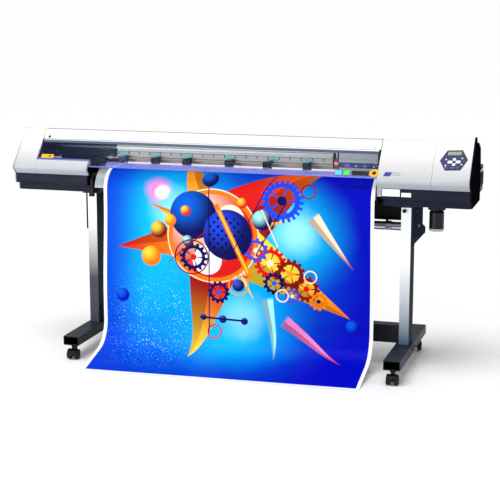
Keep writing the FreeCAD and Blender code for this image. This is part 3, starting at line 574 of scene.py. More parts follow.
def offset(path, distance):
    """The same open path moved sideways, to its left as it runs."""
    moved = []
    for i, point in enumerate(path):
        total = Vector((0, 0))
        for a, b in ((i - 1, i), (i, i + 1)):
            if a >= 0 and b < len(path):
                run = (path[b] - path[a]).normalized()
                total += Vector((-run.y, run.x))
        normal = total.normalized()
        run = (path[min(i + 1, len(path) - 1)] - path[max(i - 1, 0)]).normalized()
        moved.append(point + normal * distance / max(0.5, normal.dot(Vector((-run.y, run.x)))))
    return moved


def wall_section(path, thickness):
    """Closed ring of a wall that lies to the left of an open path."""
    return path + offset(path, thickness)[::-1]


def at_x(ring, x):
    """Ring of 3-D points at one x, drawn in towards the body's middle near its rounded left end."""
    inset = max(0.0, -BODY_END + END_ROUND - x)
    shrink = (END_ROUND - math.sqrt(max(0.0, END_ROUND ** 2 - inset ** 2))) / BODY_REACH
    return [Vector((x, *(p + (BODY_MIDDLE - p) * shrink))) for p in (Vector(q) for q in ring)]


def end_stations(limit, count=6):
    """Places along x through the rounded left end."""
    start = BODY_END - END_ROUND
    return [-(start + (limit - start) * math.sin(math.pi / 2 * k / count)) for k in range(count + 1)]


class Piece:
    """Mesh parts that share one object, each with one of its materials."""

    def __init__(self, name, *materials):
        self.name, self.materials = name, materials
        self.mesh = bmesh.new()

    def face(self, corners, material=0):
        made = self.mesh.faces.new(corners)
        made.material_index = material
        return made

    def loft(self, rings, material=0, caps=True, inner=None):
        """Skin over closed rings of points. inner is the material of the second half of each ring."""
        rings = [[self.mesh.verts.new(p) for p in ring] for ring in rings]
        count = len(rings[0])
        for a, b in zip(rings, rings[1:]):
            for i in range(count):
                j = (i + 1) % count
                inside = inner is not None and i >= count // 2
                self.face((a[i], a[j], b[j], b[i]), inner if inside else material)
        if caps:
            self.face(rings[0], material)
            self.face(rings[-1][::-1], material)

    def prism(self, outline, x, material=0, inner=None):
        self.loft([[Vector((v, *p)) for p in outline] for v in x], material, inner=inner)

    def block(self, low, high, material=0):
        corners = [(low[1], low[2]), (high[1], low[2]), (high[1], high[2]), (low[1], high[2])]
        self.prism(corners, (low[0], high[0]), material)

    def lathe(self, origin, axis, profile, material=0, segments=40):
        """Turned shape. profile is a list of (radius, distance along the axis)."""
        axis = Vector(axis).normalized()
        side = axis.orthogonal().normalized()
        across = axis.cross(side)
        rings = []
        for radius, along in profile:
            centre = Vector(origin) + axis * along
            ring = []
            for k in range(segments):
                turn = 2 * math.pi * k / segments
                ring.append(centre + (side * math.cos(turn) + across * math.sin(turn)) * radius)
            rings.append(ring)
        self.loft(rings, material)

    def rod(self, start, end, radius, material=0, edge=0.0006, segments=32):
        """Rod with broken edges."""
        run = Vector(end) - Vector(start)
        far = run.length
        profile = [(radius - edge, 0), (radius, edge), (radius, far - edge), (radius - edge, far)]
        self.lathe(start, run, profile, material, segments)

    def screw(self, at, axis, radius, material=0):
        """Low domed head with a hexagonal recess."""
        shares = [(1.0, 0.0), (1.0, 0.35), (0.8, 0.6), (0.5, 0.62), (0.46, 0.25)]
        self.lathe(at, axis, [(radius * a, radius * b) for a, b in shares], material, 18)

    def node(self, name, material=0, grid=1e-5):
        """Adds a CAD node's own shape, with its flat facets merged."""
        source = bmesh.new()
        source.from_mesh(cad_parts[name].data)
        bmesh.ops.remove_doubles(source, verts=source.verts, dist=grid)
        flat = math.radians(0.5)
        bmesh.ops.dissolve_limit(source, angle_limit=flat, verts=source.verts, edges=source.edges)
        for made in source.faces:
            made.material_index = material
        copy = bpy.data.meshes.new("copy")
        source.to_mesh(copy)
        source.free()
        self.mesh.from_mesh(copy)
        bpy.data.meshes.remove(copy)

    def recolor(self, rule):
        """rule gives a face's material index from its middle and normal, or None to leave it."""
        self.mesh.normal_update()
        for made in self.mesh.faces:
            index = rule(made.calc_center_median(), made.normal)
            if index is not None:
                made.material_index = index

    def place(self, body, slot, bevel=0.0, angle=35, segments=2, replaces=(), holes=None):
        bmesh.ops.recalc_face_normals(self.mesh, faces=self.mesh.faces)
        obj = mesh_object(self.name, self.mesh, self.materials)
        if holes:
            cut_holes(obj, holes)
        mesh = obj.data
        mesh.shade_smooth()
        mesh.set_sharp_from_angle(angle=math.radians(angle))
        if bevel:
            modifier = obj.modifiers.new("edges", "BEVEL")
            modifier.width = bevel
            modifier.segments = segments
            modifier.limit_method = "ANGLE"
            modifier.angle_limit = math.radians(angle)
            modifier.harden_normals = True
            modifier.miter_outer = "MITER_ARC"
        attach(obj, body)
        if replaces:
            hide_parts(*replaces)
        return obj


def cut_holes(obj, cutter):
    """Cuts a piece's shape out of an object's mesh and applies the cut."""
    bmesh.ops.recalc_face_normals(cutter.mesh, faces=cutter.mesh.faces)
    tool = mesh_object("cutter", cutter.mesh)
    modifier = obj.modifiers.new("holes", "BOOLEAN")
    modifier.object = tool
    modifier.solver = "EXACT"
    modifier.operation = "DIFFERENCE"
    bpy.context.view_layer.update()
    evaluated = obj.evaluated_get(bpy.context.evaluated_depsgraph_get())
    result = bpy.data.meshes.new_from_object(evaluated)
    obj.modifiers.clear()
    result.name = obj.name
    old, used = obj.data, tool.data
    obj.data = result
    bpy.data.meshes.remove(old)
    bpy.data.objects.remove(tool)
    bpy.data.meshes.remove(used)


# ---- covers ----

FRONT_PATH = fillet([COVER_REAR, RIDGE, NOSE_TOP, NOSE_BOTTOM, CHIN_EDGE], {1: 0.014, 2: 0.012, 3: 0.008})


def flange(piece, path, x, depth=0.014, material=0):
    """Return that closes a cover's open end."""
    piece.prism(wall_section(path, depth), x, material)


def left_cover():
    piece = Piece("left_cover_shell", COVER, COVER_INSIDE_SHADE_AND_HINGES)
    ring = wall_section(FRONT_PATH, WALL)
    xs = [WINDOW_LEFT] + end_stations(BODY_END - 0.0015)
    piece.loft([at_x(ring, x) for x in xs], inner=1)
    flange(piece, FRONT_PATH, (WINDOW_LEFT - 0.0001, WINDOW_LEFT + 0.0006), 0.014, 1)
    lip = (on_slope(CHIN_TOP)[0] + 0.022, on_slope(CHIN_TOP)[1])
    chin = fillet([lip, on_slope(CHIN_TOP), NOSE_TOP, NOSE_BOTTOM, CHIN_EDGE], {1: 0.005, 2: 0.012, 3: 0.008})
    piece.prism(wall_section(chin, WALL), (WINDOW_LEFT, FEED_LEFT))
    flange(piece, chin, (FEED_LEFT - 0.0030, FEED_LEFT - 0.0002), 0.020)
    piece.place("machine", "cover_plastic", 0.0008, replaces=["left_cover"])


def right_cover():
    piece = Piece("right_cover_shell", COVER, COVER_INSIDE_SHADE_AND_HINGES)
    piece.prism(wall_section(FRONT_PATH, WALL), (FEED_RIGHT + 0.001, POD_LEFT - 0.0012), inner=1)
    flange(piece, FRONT_PATH, (FEED_RIGHT + 0.0002, FEED_RIGHT + 0.0011), 0.016, 1)
    low, high = (FEED_RIGHT + 0.001, -0.100, 0.862), (FEED_RIGHT + 0.022, -0.096, 0.905)
    piece.block(low, high)
    piece.place("machine", "cover_plastic", 0.0008, replaces=["right_cover"])
    badge = Piece("right_cover_badge", BLUE_LABEL, GREY_LABEL)
    s_low, s_high = 0.188, 0.212
    start = FEED_RIGHT + 0.030
    for x, width, material, rows in ((start, 0.032, 0, 1), (start + 0.038, 0.042, 1, 2)):
        for row in range(rows):
            share = (s_high - s_low) / rows
            top, bottom = s_low + share * row, s_low + share * (row + (1.0 if rows == 1 else 0.45))
            slant = 0.008 if material == 0 else 0.0
            strip = slope_strip(top, bottom, 0.0001, 0.0005)
            shifts = (slant, slant, 0.0, 0.0)
            ends = [[Vector((end + dx, *p)) for dx, p in zip(shifts, strip)] for end in (x, x + width)]
            badge.loft(ends, material)
    badge.place("machine", "cover_plastic")


def pod_point(path_a, path_b, x):
    share = (x - POD_LEFT) / (POD_RIGHT - POD_LEFT)
    return [a + (b - a) * share for a, b in zip(path_a, path_b)]


def pod_paths():
    radii = {1: 0.002, 2: 0.010, 3: 0.012, 4: 0.008}
    ends = ((RIDGE, NOSE_TOP), (POD_RIDGE, POD_NOSE))
    return [fillet([COVER_REAR, (0.070, ridge[1] - 0.002), ridge, nose, NOSE_BOTTOM, CHIN_EDGE], radii)
            for ridge, nose in ends]


def panel_frame():
    """Middle of the control panel, its direction across and down, and its outward normal."""
    panel_x, down_by = 1.063, 0.119
    share = (panel_x - POD_LEFT) / (POD_RIGHT - POD_LEFT)
    top = Vector((panel_x, *(Vector(RIDGE).lerp(Vector(POD_RIDGE), share))))
    low = Vector((panel_x, *(Vector(NOSE_TOP).lerp(Vector(POD_NOSE), share))))
    down = (low - top).normalized()
    left = Vector((POD_LEFT, *on_slope(down_by)))
    right = Vector((POD_RIGHT, *(Vector(POD_RIDGE).lerp(Vector(POD_NOSE), down_by / SLOPE_LEN))))
    out = down.cross((right - left).normalized()).normalized()
    return top + down * down_by, out.cross(down), down, out


PANEL_O, PANEL_U, PANEL_D, PANEL_N = panel_frame()


def on_panel(u, d, n):
    return PANEL_O + PANEL_U * u + PANEL_D * d + PANEL_N * n


def panel_slab(piece, outline, heights, material=0):
    piece.loft([[on_panel(u, d, n) for u, d in outline] for n in heights], material)


def hexagon(grow=0.0):
    w, h = 0.066 + grow, 0.057 + grow
    return [(-w, 0), (-0.55 * w, -h), (0.55 * w, -h), (w, 0), (0.55 * w, h), (-0.55 * w, h)]


def control_pod():
    piece = Piece("control_pod_shell", COVER, COVER_INSIDE_SHADE_AND_HINGES)
    left, right = pod_paths()
    stations = [POD_LEFT + (POD_RIGHT - POD_LEFT) * k / 16 for k in range(17)]
    rings = []
    for x in stations:
        ring = wall_section(pod_point(left, right, x), WALL)
        rings.append([Vector((x, *p)) for p in ring])
    piece.loft(rings, inner=1)
    opening = Piece("opening")
    panel_slab(opening, hexagon(0.0006), (-0.03, 0.03))
    piece.place("machine", "cover_plastic", 0.0008, replaces=["control_pod"], holes=opening)


def control_panel():
    bezel = Piece("panel_bezel_plate", PANEL_NAVY, MARK_VIOLET)
    cross = (0.003, 0.012)
    panel_slab(bezel, hexagon(-0.0002), (-0.004, 0.0))
    panel_slab(bezel, hexagon(-0.0030), (0.0, 0.0018))
    for u, d, half_u, half_d in ((-0.036, 0.043, 0.008, 0.0012), (-0.004, 0.044, 0.006, 0.0022),
                                 (0.022, 0.043, 0.005, 0.0012), (-0.046, 0.010, 0.004, 0.0010),
                                 (0.050, 0.006, 0.004, 0.0010)):
        panel_slab(bezel, rect(u - half_u, d - half_d, u + half_u, d + half_d), (0.0018, 0.0021), 1)
    bezel.place("machine", "panel_navy", 0.0005, replaces=["panel_bezel"])

    lcd = Piece("lcd_glass", LCD, LCD_BAR, PANEL_NAVY)
    panel_slab(lcd, rect(-0.034, -0.050, 0.036, -0.025), (0.0016, 0.0022), 2)
    panel_slab(lcd, rect(-0.031, -0.047, 0.033, -0.028), (0.0020, 0.0028))
    for row in range(2):
        for cell in range(12):
            u = -0.028 + 0.0049 * cell
            d = -0.0445 + 0.0085 * row
            height = 0.0055 if (cell * 7 + row * 3) % 5 else 0.0028
            panel_slab(lcd, rect(u, d, u + 0.0034, d + height), (0.0028, 0.0030), 1)
    lcd.place("machine", "lcd_green", replaces=["lcd_screen"])

    arms = {"up": (0, -0.0145, 0.007, 0.0065), "down": (0, 0.0145, 0.007, 0.0065),
            "left": (-0.019, 0, 0.011, 0.007), "right": (0.019, 0, 0.011, 0.007)}
    for name, (u, d, half_u, half_d) in arms.items():
        key = Piece("cursor_cap_" + name, KEY_WHITE, MARK_VIOLET)
        u, d = u + cross[0], d + cross[1]
        corners = rect(u - half_u, d - half_d, u + half_u, d + half_d)
        panel_slab(key, corners, (-0.002, 0.0046))
        panel_slab(key, [(u + (p - u) * 0.82, d + (q - d) * 0.82) for p, q in corners], (0.0046, 0.0052))
        tip = {"up": (0, -1), "down": (0, 1), "left": (-1, 0), "right": (1, 0)}[name]
        reach = 0.0022
        arrow = [(u + tip[0] * reach, d + tip[1] * reach),
                 (u - tip[0] * reach + tip[1] * reach, d - tip[1] * reach + tip[0] * reach),
                 (u - tip[0] * reach - tip[1] * reach, d - tip[1] * reach - tip[0] * reach)]
        panel_slab(key, arrow, (0.0052, 0.0054), 1)
        key.place("cursor_key_" + name, "key_white", 0.0008, replaces=["cursor_key_" + name])
    for name, u, d in (("menu", -0.036, -0.004), ("enter", 0.040, -0.008), ("pause", -0.036, 0.031),
                       ("base_point", 0.040, 0.027)):
        key = Piece("round_cap_" + name, KEY_WHITE)
        profile = [(0.0039, -0.003), (0.0039, 0.0036), (0.0034, 0.0044), (0.0016, 0.0045), (0.0010, 0.0042)]
        key.lathe(on_panel(u, d, 0), PANEL_N, profile, 0, 28)
        key.place("key_" + name, "key_white", replaces=["key_" + name])


def rear_cover():
    piece = Piece("rear_cover_shell", COVER, COVER_INSIDE_SHADE_AND_HINGES)
    path = fillet([(0.232, 0.946), (0.232, 0.990), (0.212, 1.072), (0.144, 1.103), (0.076, 1.113)],
                  {1: 0.02, 2: 0.02, 3: 0.02})
    ring = wall_section(path, WALL)
    xs = [POD_RIGHT] + end_stations(BODY_END - 0.0055)
    piece.loft([at_x(ring, x) for x in xs], inner=1)
    for x in HINGE_X:
        piece.block((x + 0.012, 0.074, 1.098), (x + 0.030, 0.084, 1.110), 1)
        piece.rod((x + 0.012, *HINGE), (x + 0.030, *HINGE), 0.005, 1)
    holes = Piece("openings")
    holes.block((-1.068, 0.215, 0.9545), (-1.044, 0.240, 0.9735))
    holes.block((-1.120, 0.215, 0.952), (-1.086, 0.240, 0.976))
    for group_start in (-0.80, 0.55):
        for slot in range(16):
            x = group_start + 0.018 * slot
            holes.block((x, 0.205, 1.000), (x + 0.006, 0.245, 1.048))
    piece.place("machine", "cover_plastic", 0.0006, replaces=["rear_cover"], holes=holes)
    trim = Piece("rear_cover_screws", BLACK_STEEL)
    for k in range(7):
        trim.screw((-0.96 + 0.32 * k, 0.2322, 0.962), Y, 0.004)
    trim.place("machine", "steel_black")


def trays():
    path = fillet([(-0.098, 0.902), (-0.098, 0.853), (-0.058, 0.848), (-0.058, 0.812), (0.231, 0.812),
                   (0.231, 0.943)], {1: 0.008, 2: 0.006, 3: 0.010, 4: 0.014})
    ring = wall_section(path, WALL)
    for name, xs, closed in (("left", (-1.148, -0.760), -0.7615), ("right", (0.735, 1.148), 0.7365)):
        piece = Piece(name + "_tray_shell", NAVY, BLACK)
        piece.prism(ring, xs, inner=1)
        front = [p for p in path if p.x < 0.0] + [Vector((0.036, 0.812)), Vector((0.036, 0.902))]
        piece.prism(front, (closed - 0.0014, closed + 0.0014))
        low, high = xs
        for z, y in ((0.894, -0.0986), (0.860, -0.0986), (0.838, -0.0586), (0.820, -0.0586)):
            piece.rod((low + 0.012, y + 0.0004, z), (high - 0.012, y + 0.0004, z), 0.0011, 0, 0.0003, 10)
        if name == "left":
            piece.block((-1.120, -0.0995, 0.8535), (-0.960, -0.0975, 0.8555))
        else:
            collar = [(0.042, -0.026), (0.042, 0.0), (0.037, 0.0), (0.037, -0.026)]
            piece.lathe((0.973, 0.065, 0.812), Z, collar)
        piece.place("machine", "navy_plastic", 0.0008, replaces=[name + "_tray"])
    labels = Piece("blank_labels", WHITE)
    for x, z, width, height in ((0.737, 0.866, 0.084, 0.034), (0.828, 0.865, 0.046, 0.020)):
        labels.block((x, -0.0995, z), (x + width, -0.0978, z + height))
    labels.place("machine", "cover_plastic")


# ---- front cover ----

def front_cover():
    low, high = WINDOW_LEFT + 0.002, FEED_RIGHT - 0.002
    panel = Piece("cover_panel_shell", COVER, COVER_INSIDE_SHADE_AND_HINGES, BLACK, RIDGE_PAINTED_SHADE)
    path = fillet([(0.060, RIDGE[1]), RIDGE, on_slope(BAR[0] - 0.0003)], {1: 0.014})
    panel.prism(wall_section(path, WALL), (low, high), inner=1)
    # painted shade: the flat top faces at the ridge take grey, for the shaded top edge
    panel.recolor(lambda middle, normal: 3 if normal.z > 0.97 and middle.z > RIDGE[1] - 0.001 else None)
    for x in HINGE_X:
        panel.block((x, 0.052, 1.106), (x + 0.010, 0.066, 1.114), 1)
        panel.rod((x, *HINGE), (x + 0.010, *HINGE), 0.005, 1)
        panel.rod((x, *HINGE), (x + 0.032, *HINGE), 0.0025, 1)
    for x, radius in ((low + 0.030, 0.0065), (high - 0.030, 0.0030)):
        panel.screw((x, *on_slope(0.050, 0.0001)), (0, *SLOPE_OUT), radius, 2)
    panel.place("front_cover", "cover_plastic", 0.0008, replaces=["cover_panel"])

    bar = Piece("cover_bar_profile", ALUMINIUM, ALUMINIUM_PAINTED_SHADE, BLACK)
    a, b = BAR
    upper = [on_slope(a, -0.006), on_slope(a, 0.002), on_slope(a + 0.002, 0.0034), on_slope(a + 0.006, 0.004),
             on_slope(a + 0.010, 0.0036), on_slope(a + 0.010, -0.006)]
    lower = [on_slope(a + 0.0103, -0.006), on_slope(a + 0.0103, 0.0028), on_slope(a + 0.013, 0.0032),
             on_slope(b - 0.003, 0.0014), on_slope(b, -0.002), on_slope(b, -0.006)]
    cap = 0.007
    # painted shade: the bar's lower half takes the darker aluminium copy
    for outline, material in ((upper, 0), (lower, 1)):
        bar.prism(outline, (low + cap, high - cap), material)
    corners = ((a, -0.006), (a, 0.004), (b - 0.004, 0.004), (b, 0.0), (b, -0.006))
    whole = [on_slope(s, out) for s, out in corners]
    bar.prism(whole, (low, low + cap - 0.0003), 2)
    bar.prism(whole, (high - cap + 0.0003, high), 2)
    bar.place("front_cover", "aluminium", 0.0006, replaces=["cover_bar"])

    window = Piece("cover_window_pane", WINDOW, WINDOW_PAINTED_REFLECTION)
    top = b + 0.0003
    left = (low, FEED_LEFT + 0.002)
    right = (left[1], high)
    sheet_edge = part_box("printed_sheet")[0].x + 0.012
    bend = WINDOW_END - 0.034
    # the last strip, in front of the print only, takes the violet painted reflection
    for start, end, s0, s1, tint in ((low + 0.003, left[1], top, CHIN_TOP - 0.010, 0),
                                     (left[1], high, top, bend, 0),
                                     (left[1], sheet_edge, bend, WINDOW_END - 0.004, 0),
                                     (sheet_edge, high, bend, WINDOW_END - 0.004, 1)):
        window.prism(slope_strip(s0, s1, -0.004, 0.0), (start, end), tint)
    window.place("front_cover", "smoked_window", replaces=["cover_window"])
    # painted glint along the window's lower edges and its left side
    edge = Piece("cover_window_edge", WINDOW_EDGE_PAINTED_GLINT)
    for span, end in ((left, CHIN_TOP - 0.006), (right, WINDOW_END)):
        edge.prism(slope_strip(end - 0.0042, end, -0.0042, 0.0002), (span[0] + 0.003, span[1]))
    edge.prism(slope_strip(top, CHIN_TOP - 0.006, -0.004, 0.0), (low, low + 0.003))
    edge.place("front_cover", "smoked_window", 0.0004)
    marks = Piece("cover_window_labels", YELLOW, BLACK, CYAN, GREEN)
    for x0, x1, material in ((0.511, 0.541, 2), (0.549, 0.581, 3), (0.592, 0.672, 1)):
        marks.prism(slope_strip(0.187, 0.213, 0.0001, 0.0006), (x0, x1), material)
    marks.lathe((0.697, *on_slope(0.197, 0.0001)), (0, *SLOPE_OUT), [(0.023, 0), (0.023, 0.0006)], 0)
    marks.lathe((0.697, *on_slope(0.197, 0.0006)), (0, *SLOPE_OUT), [(0.010, 0), (0.010, 0.0002)], 1)
    marks.prism(slope_strip(0.160, 0.182, 0.0001, 0.0006), (low + 0.020, low + 0.085), 0)
    marks.prism(slope_strip(0.166, 0.176, 0.0006, 0.0008), (low + 0.060, low + 0.070), 1)
    marks.place("front_cover", "smoked_window")


# ---- chassis ----

def side_frames():
    piece = Piece("side_frame_plates", END_BLACK_AND_PAINTED_SHADE, COVER, END_SLATE_PAINTED_LIGHT)
    piece.node("side_frames")

    def rule(middle, normal):
        if middle.x < -1.1:
            return 1
        # painted light: at the right end only the rear outward faces stay black as shade; the rest take the
        # lighter slate copy
        if middle.x > 1.1:
            return 0 if normal.x > 0.5 and middle.y > -0.05 else 2
        return 0

    piece.recolor(rule)
    piece.place("machine", "dark_paint", 0.0012, replaces=["side_frames"])


def guide_rail():
    low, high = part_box("guide_rail")
    split = FEED_LEFT + 0.055
    piece = Piece("guide_rail_beam", ALUMINIUM, END_BLACK_AND_PAINTED_SHADE, STEEL, RAIL_PALE, BEIGE, SLATE_PAINT_AND_SHADE, ALUMINIUM_PAINTED_SHADE)
    y0, y1, z0, z1 = 0.152, high.y, 0.968, 1.052
    # painted shade: left of split the rail is slate with a darker rib, where the interior is in shade; right
    # of it, pale
    for span, material in (((low.x, split), 5), ((split, 1.0335), 3)):
        front = [(0, z0), (0, z0 + 0.030), (0.003, z0 + 0.032), (0.003, z0 + 0.040), (0, z0 + 0.042),
                 (0, 1.012), (0, 1.024), (0, z1 - 0.012), (0.002, z1 - 0.010), (0.002, z1 - 0.006),
                 (0, z1 - 0.004), (0, z1)]
        piece.prism([(y0 + depth, z) for depth, z in front] + [(y1, z1), (y1, z0)], span, material)
        rib = [(0.140, 1.0125), (0.1405, 1.012), (y0, 1.012), (y0, 1.024), (0.1405, 1.024), (0.140, 1.0235)]
        piece.prism(rib, span, 0 if material == 3 else 6)
    piece.rod((-1.005, 0.172, z1 - 0.001), (-1.005, 0.172, 1.0665), 0.004, 2)
    piece.block((1.0335, y1 - 0.006, z0), (1.088, y1, 0.989), 3)
    piece.block((split, 0.178, 0.9420), (1.0335, 0.182, z0 + 0.001), 4)
    # painted shade: a black panel under the left part of the rail
    piece.block((low.x + 0.010, 0.178, 0.9250), (split, 0.182, z0 + 0.001), 1)
    piece.place("machine", "aluminium", 0.0006, replaces=["guide_rail"])

    strip = Piece("scale_strip", SCALE_PALE, SCALE_CYAN_PAINTED_GLINT, BLACK)
    pitch = 0.057
    start = FEED_LEFT + 0.062
    front = y0 - 0.0005
    for k in range(26):
        x = start + pitch * k
        # painted glint: segments above the pinch arms take pale cyan
        near = any(abs(x + pitch / 2 - p) < 0.5 * pitch for p in PINCH_X)
        strip.block((x + 0.0025, front, 0.9735), (x + pitch - 0.0025, y0 - 0.0001, 0.9965), 1 if near else 0)
        strip.block((x - 0.0022, front, 0.983), (x + 0.0022, y0 - 0.0001, 0.998), 2)
    for z in (0.9705, 0.9975):
        strip.block((start, front, z), (start + 26 * pitch, y0 - 0.0001, z + 0.0022), 2)
    strip.place("machine", "aluminium")



def feed_unit():
    arms = Piece("pinch_arm_set", END_BLACK_AND_PAINTED_SHADE, STEEL, BEIGE, CARRIAGE_BLUE, WHITE)
    arms.node("pinch_arms")
    arms.recolor(lambda middle, normal: 2 if min(abs(middle.x - x) for x in PINCH_X) > 0.0205 else None)
    arms.recolor(lambda middle, normal: 3 if abs(middle.x - PINCH_X[0]) < 0.021 else None)
    arms.block((-0.735, 0.136, 0.958), (-0.720, 0.150, 0.974), 4)
    for x in PINCH_X:
        arms.block((x + 0.006, 0.118, 0.9755), (x + 0.020, 0.140, 0.9800))
        arms.rod((x - 0.014, 0.126, 0.9760), (x + 0.003, 0.126, 0.9760), 0.0026, 1)
    arms.place("pinch_arms", "black_plastic", 0.0008, replaces=["pinch_arms"])
    low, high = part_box("grit_roller")
    roller = Piece("grit_roller_shaft", STEEL, BLACK_STEEL)
    centre = (low + high) / 2
    roller.rod((low.x, centre.y, centre.z), (high.x, centre.y, centre.z), 0.005)
    body = (low.x + 0.012, high.x - 0.009)
    roller.rod((body[0], centre.y, centre.z), (body[1], centre.y, centre.z), 0.0105)
    for x in PINCH_X:
        roller.rod((x - 0.016, centre.y, centre.z), (x + 0.016, centre.y, centre.z), 0.011, 1)
    roller.place("grit_roller", "steel", replaces=["grit_roller"])
    platen_low, platen_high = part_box("platen")
    slots = Piece("platen_slots", BLACK)
    x = platen_low.x + 0.03
    while x < platen_high.x - 0.04:
        for y in (0.034, 0.066, 0.090):
            hole = [(0.0018, 0), (0.0018, 0.0006), (0.0008, 0.0006)]
            slots.lathe((x, y, platen_high.z - 0.0004), Z, hole, 0, 10)
        x += 0.028
    start, end, top = platen_low.x + 0.004, platen_high.x - 0.004, platen_high.z
    slots.block((start, 0.056, top - 0.0003), (end, 0.0585, top + 0.0004))
    slots.place("machine", "rubber")


def carriage():
    x0, x1 = 0.500, 0.690
    piece = Piece("carriage_housing", CARRIAGE, CARRIAGE_BLUE, BLACK, RED, PINK, CARRIAGE_VIOLET, WHITE)
    head = [(0.030, 0.942), (0.096, 0.942), (0.096, 0.990), (0.151, 0.990), (0.151, 1.0115), (0.1395, 1.0115),
            (0.1395, 1.0245), (0.151, 1.0245), (0.151, 1.062), (0.118, 1.080), (0.052, 1.080), (0.030, 1.056)]
    piece.prism(head, (x0 + 0.001, x1 - 0.001), 2)
    for z0, z1, material in ((0.944, 0.960, 2), (0.961, 0.975, 0), (0.976, 1.000, 1), (1.001, 1.018, 0),
                             (1.019, 1.048, 0)):
        piece.block((x0, 0.0235, z0), (x1, 0.031, z1), material)
    for k in range(4):
        x = x0 + 0.026 + 0.044 * k
        piece.block((x, 0.0222, 0.9785), (x + 0.030, 0.0236, 0.9975), 5 if k == 0 else 1)
        # painted highlights: the small white squares on the second and fourth blocks
        piece.block((x + 0.010, 0.0220, 0.982), (x + 0.018, 0.0223, 0.988), 6 if k in (1, 3) else 0)
    piece.block((0.570, 0.140, 1.055), (0.590, 0.1568, 1.062), 2)
    piece.block((0.4645, 0.045, 0.966), (0.4715, 0.079, 1.039), 2)
    piece.block((0.4925, 0.044, 0.965), (0.5015, 0.080, 1.040), 2)
    piece.block((0.4715, 0.0440, 0.966), (0.4925, 0.0515, 1.006), 3)
    piece.block((0.4715, 0.0425, 0.985), (0.4925, 0.0445, 0.998), 4)
    piece.block((0.4715, 0.0725, 0.966), (0.4925, 0.0795, 1.039), 2)
    piece.place("carriage", "carriage_plastic", 0.0010, replaces=["print_carriage"])
    cutter = Piece("cutter_barrel", STEEL, BLACK)
    profile = [(0.002, 0.0), (0.006, 0.006), (0.009, 0.0065), (0.009, 0.030), (0.0084, 0.031),
               (0.0084, 0.034), (0.009, 0.035), (0.009, 0.100), (0.013, 0.1003), (0.013, 0.109),
               (0.012, 0.110)]
    cutter.lathe((0.482, 0.062, 0.946), Z, profile)
    cutter.place("cutter", "steel", replaces=["cutter_holder"])


# ---- printed sheet ----

def sheet():
    low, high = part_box("printed_sheet")
    thickness = 0.0006
    flat_z = 0.9366
    centre, radius, curl = Vector((-0.007, 0.831)), 0.1056, 0.140
    hinge = Vector((centre.x - radius - curl, 0.185))

    def path_point(s):
        """(y, z) and outward normal of the underside at a length s along the sheet."""
        start = 0.148
        first = start - centre.x
        if s < first:
            return Vector((start - s, flat_z)), Vector((0, 1))
        s -= first
        quarter = radius * math.pi / 2
        if s < quarter:
            angle = math.pi / 2 + s / radius
            normal = Vector((math.cos(angle), math.sin(angle)))
            return centre + normal * radius, normal
        s -= quarter
        drop = centre.y - hinge.y
        if s < drop:
            return Vector((centre.x - radius, centre.y - s)), Vector((-1, 0))
        s -= drop
        bend = math.radians(76.7)
        if s < curl * bend:
            angle = s / curl
            turned = Vector((math.cos(angle), -math.sin(angle)))
            return hinge + turned * curl, -turned
        s -= curl * bend
        last = hinge + Vector((math.cos(bend), -math.sin(bend))) * curl
        run = Vector((-math.sin(bend), -math.cos(bend)))
        return last + run * s, Vector((-math.cos(bend), math.sin(bend)))

    length, width = SHEET_LENGTH, high.x - low.x
    rows, columns = 150, 60
    grid = []
    for i in range(rows + 1):
        s = length * i / rows
        point, normal = path_point(s)
        free = max(0.0, min(1.0, (s - 0.36) / 0.5))
        free = free * free * (3 - 2 * free)
        tail = max(0.0, min(1.0, (s - 1.05) / 0.32))
        line = []
        for j in range(columns + 1):
            x = j / columns
            wave = 0.0030 * math.sin(2 * math.pi * (x * 1.7 + 0.15) + 1.5 * s)
            wave += 0.0015 * math.sin(2 * math.pi * (x * 3.9 + s * 0.5))
            skew = -0.020 * (1 - x) * free + 0.030 * x * free * (1 - 0.3 * tail)
            edge = 0.004 * (abs(2 * x - 1) ** 6) * free * (1 - tail)
            lift = (1 - tail) * wave * free + edge
            y, z = point + normal * lift
            y += skew
            z = max(z, 0.0016)
            line.append((Vector((low.x + width * x, y, z)), Vector((0, *normal)), (width * x, s)))
        grid.append(line)
    mesh = bmesh.new()
    layer = mesh.loops.layers.uv.new("sheet")
    front = [[mesh.verts.new(p + n * thickness) for p, n, uv in line] for line in grid]
    back = [[mesh.verts.new(p) for p, n, uv in line] for line in grid]
    place = {}
    for side in (front, back):
        for line, verts in zip(grid, side):
            for (p, n, uv), vert in zip(line, verts):
                place[vert] = uv

    def quad(corners, material):
        made = mesh.faces.new(corners)
        made.material_index = material
        for loop in made.loops:
            loop[layer].uv = place[loop.vert]

    for i in range(rows):
        for j in range(columns):
            quad((front[i][j], front[i][j + 1], front[i + 1][j + 1], front[i + 1][j]), 0)
            quad((back[i][j], back[i + 1][j], back[i + 1][j + 1], back[i][j + 1]), 1)
    for i in range(rows):
        quad((front[i][0], front[i + 1][0], back[i + 1][0], back[i][0]), 1)
        quad((front[i][columns], back[i][columns], back[i + 1][columns], front[i + 1][columns]), 1)
    for j in range(columns):
        quad((front[0][j], back[0][j], back[0][j + 1], front[0][j + 1]), 1)
        quad((front[rows][j], front[rows][j + 1], back[rows][j + 1], back[rows][j]), 1)
    bmesh.ops.recalc_face_normals(mesh, faces=mesh.faces)
    obj = mesh_object("hanging_print", mesh, (ARTWORK, PAPER_BACK))
    obj.data.shade_smooth()
    obj.data.set_sharp_from_angle(angle=math.radians(50))
    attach(obj, "machine")
    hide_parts("printed_sheet")


# ---- stand ----

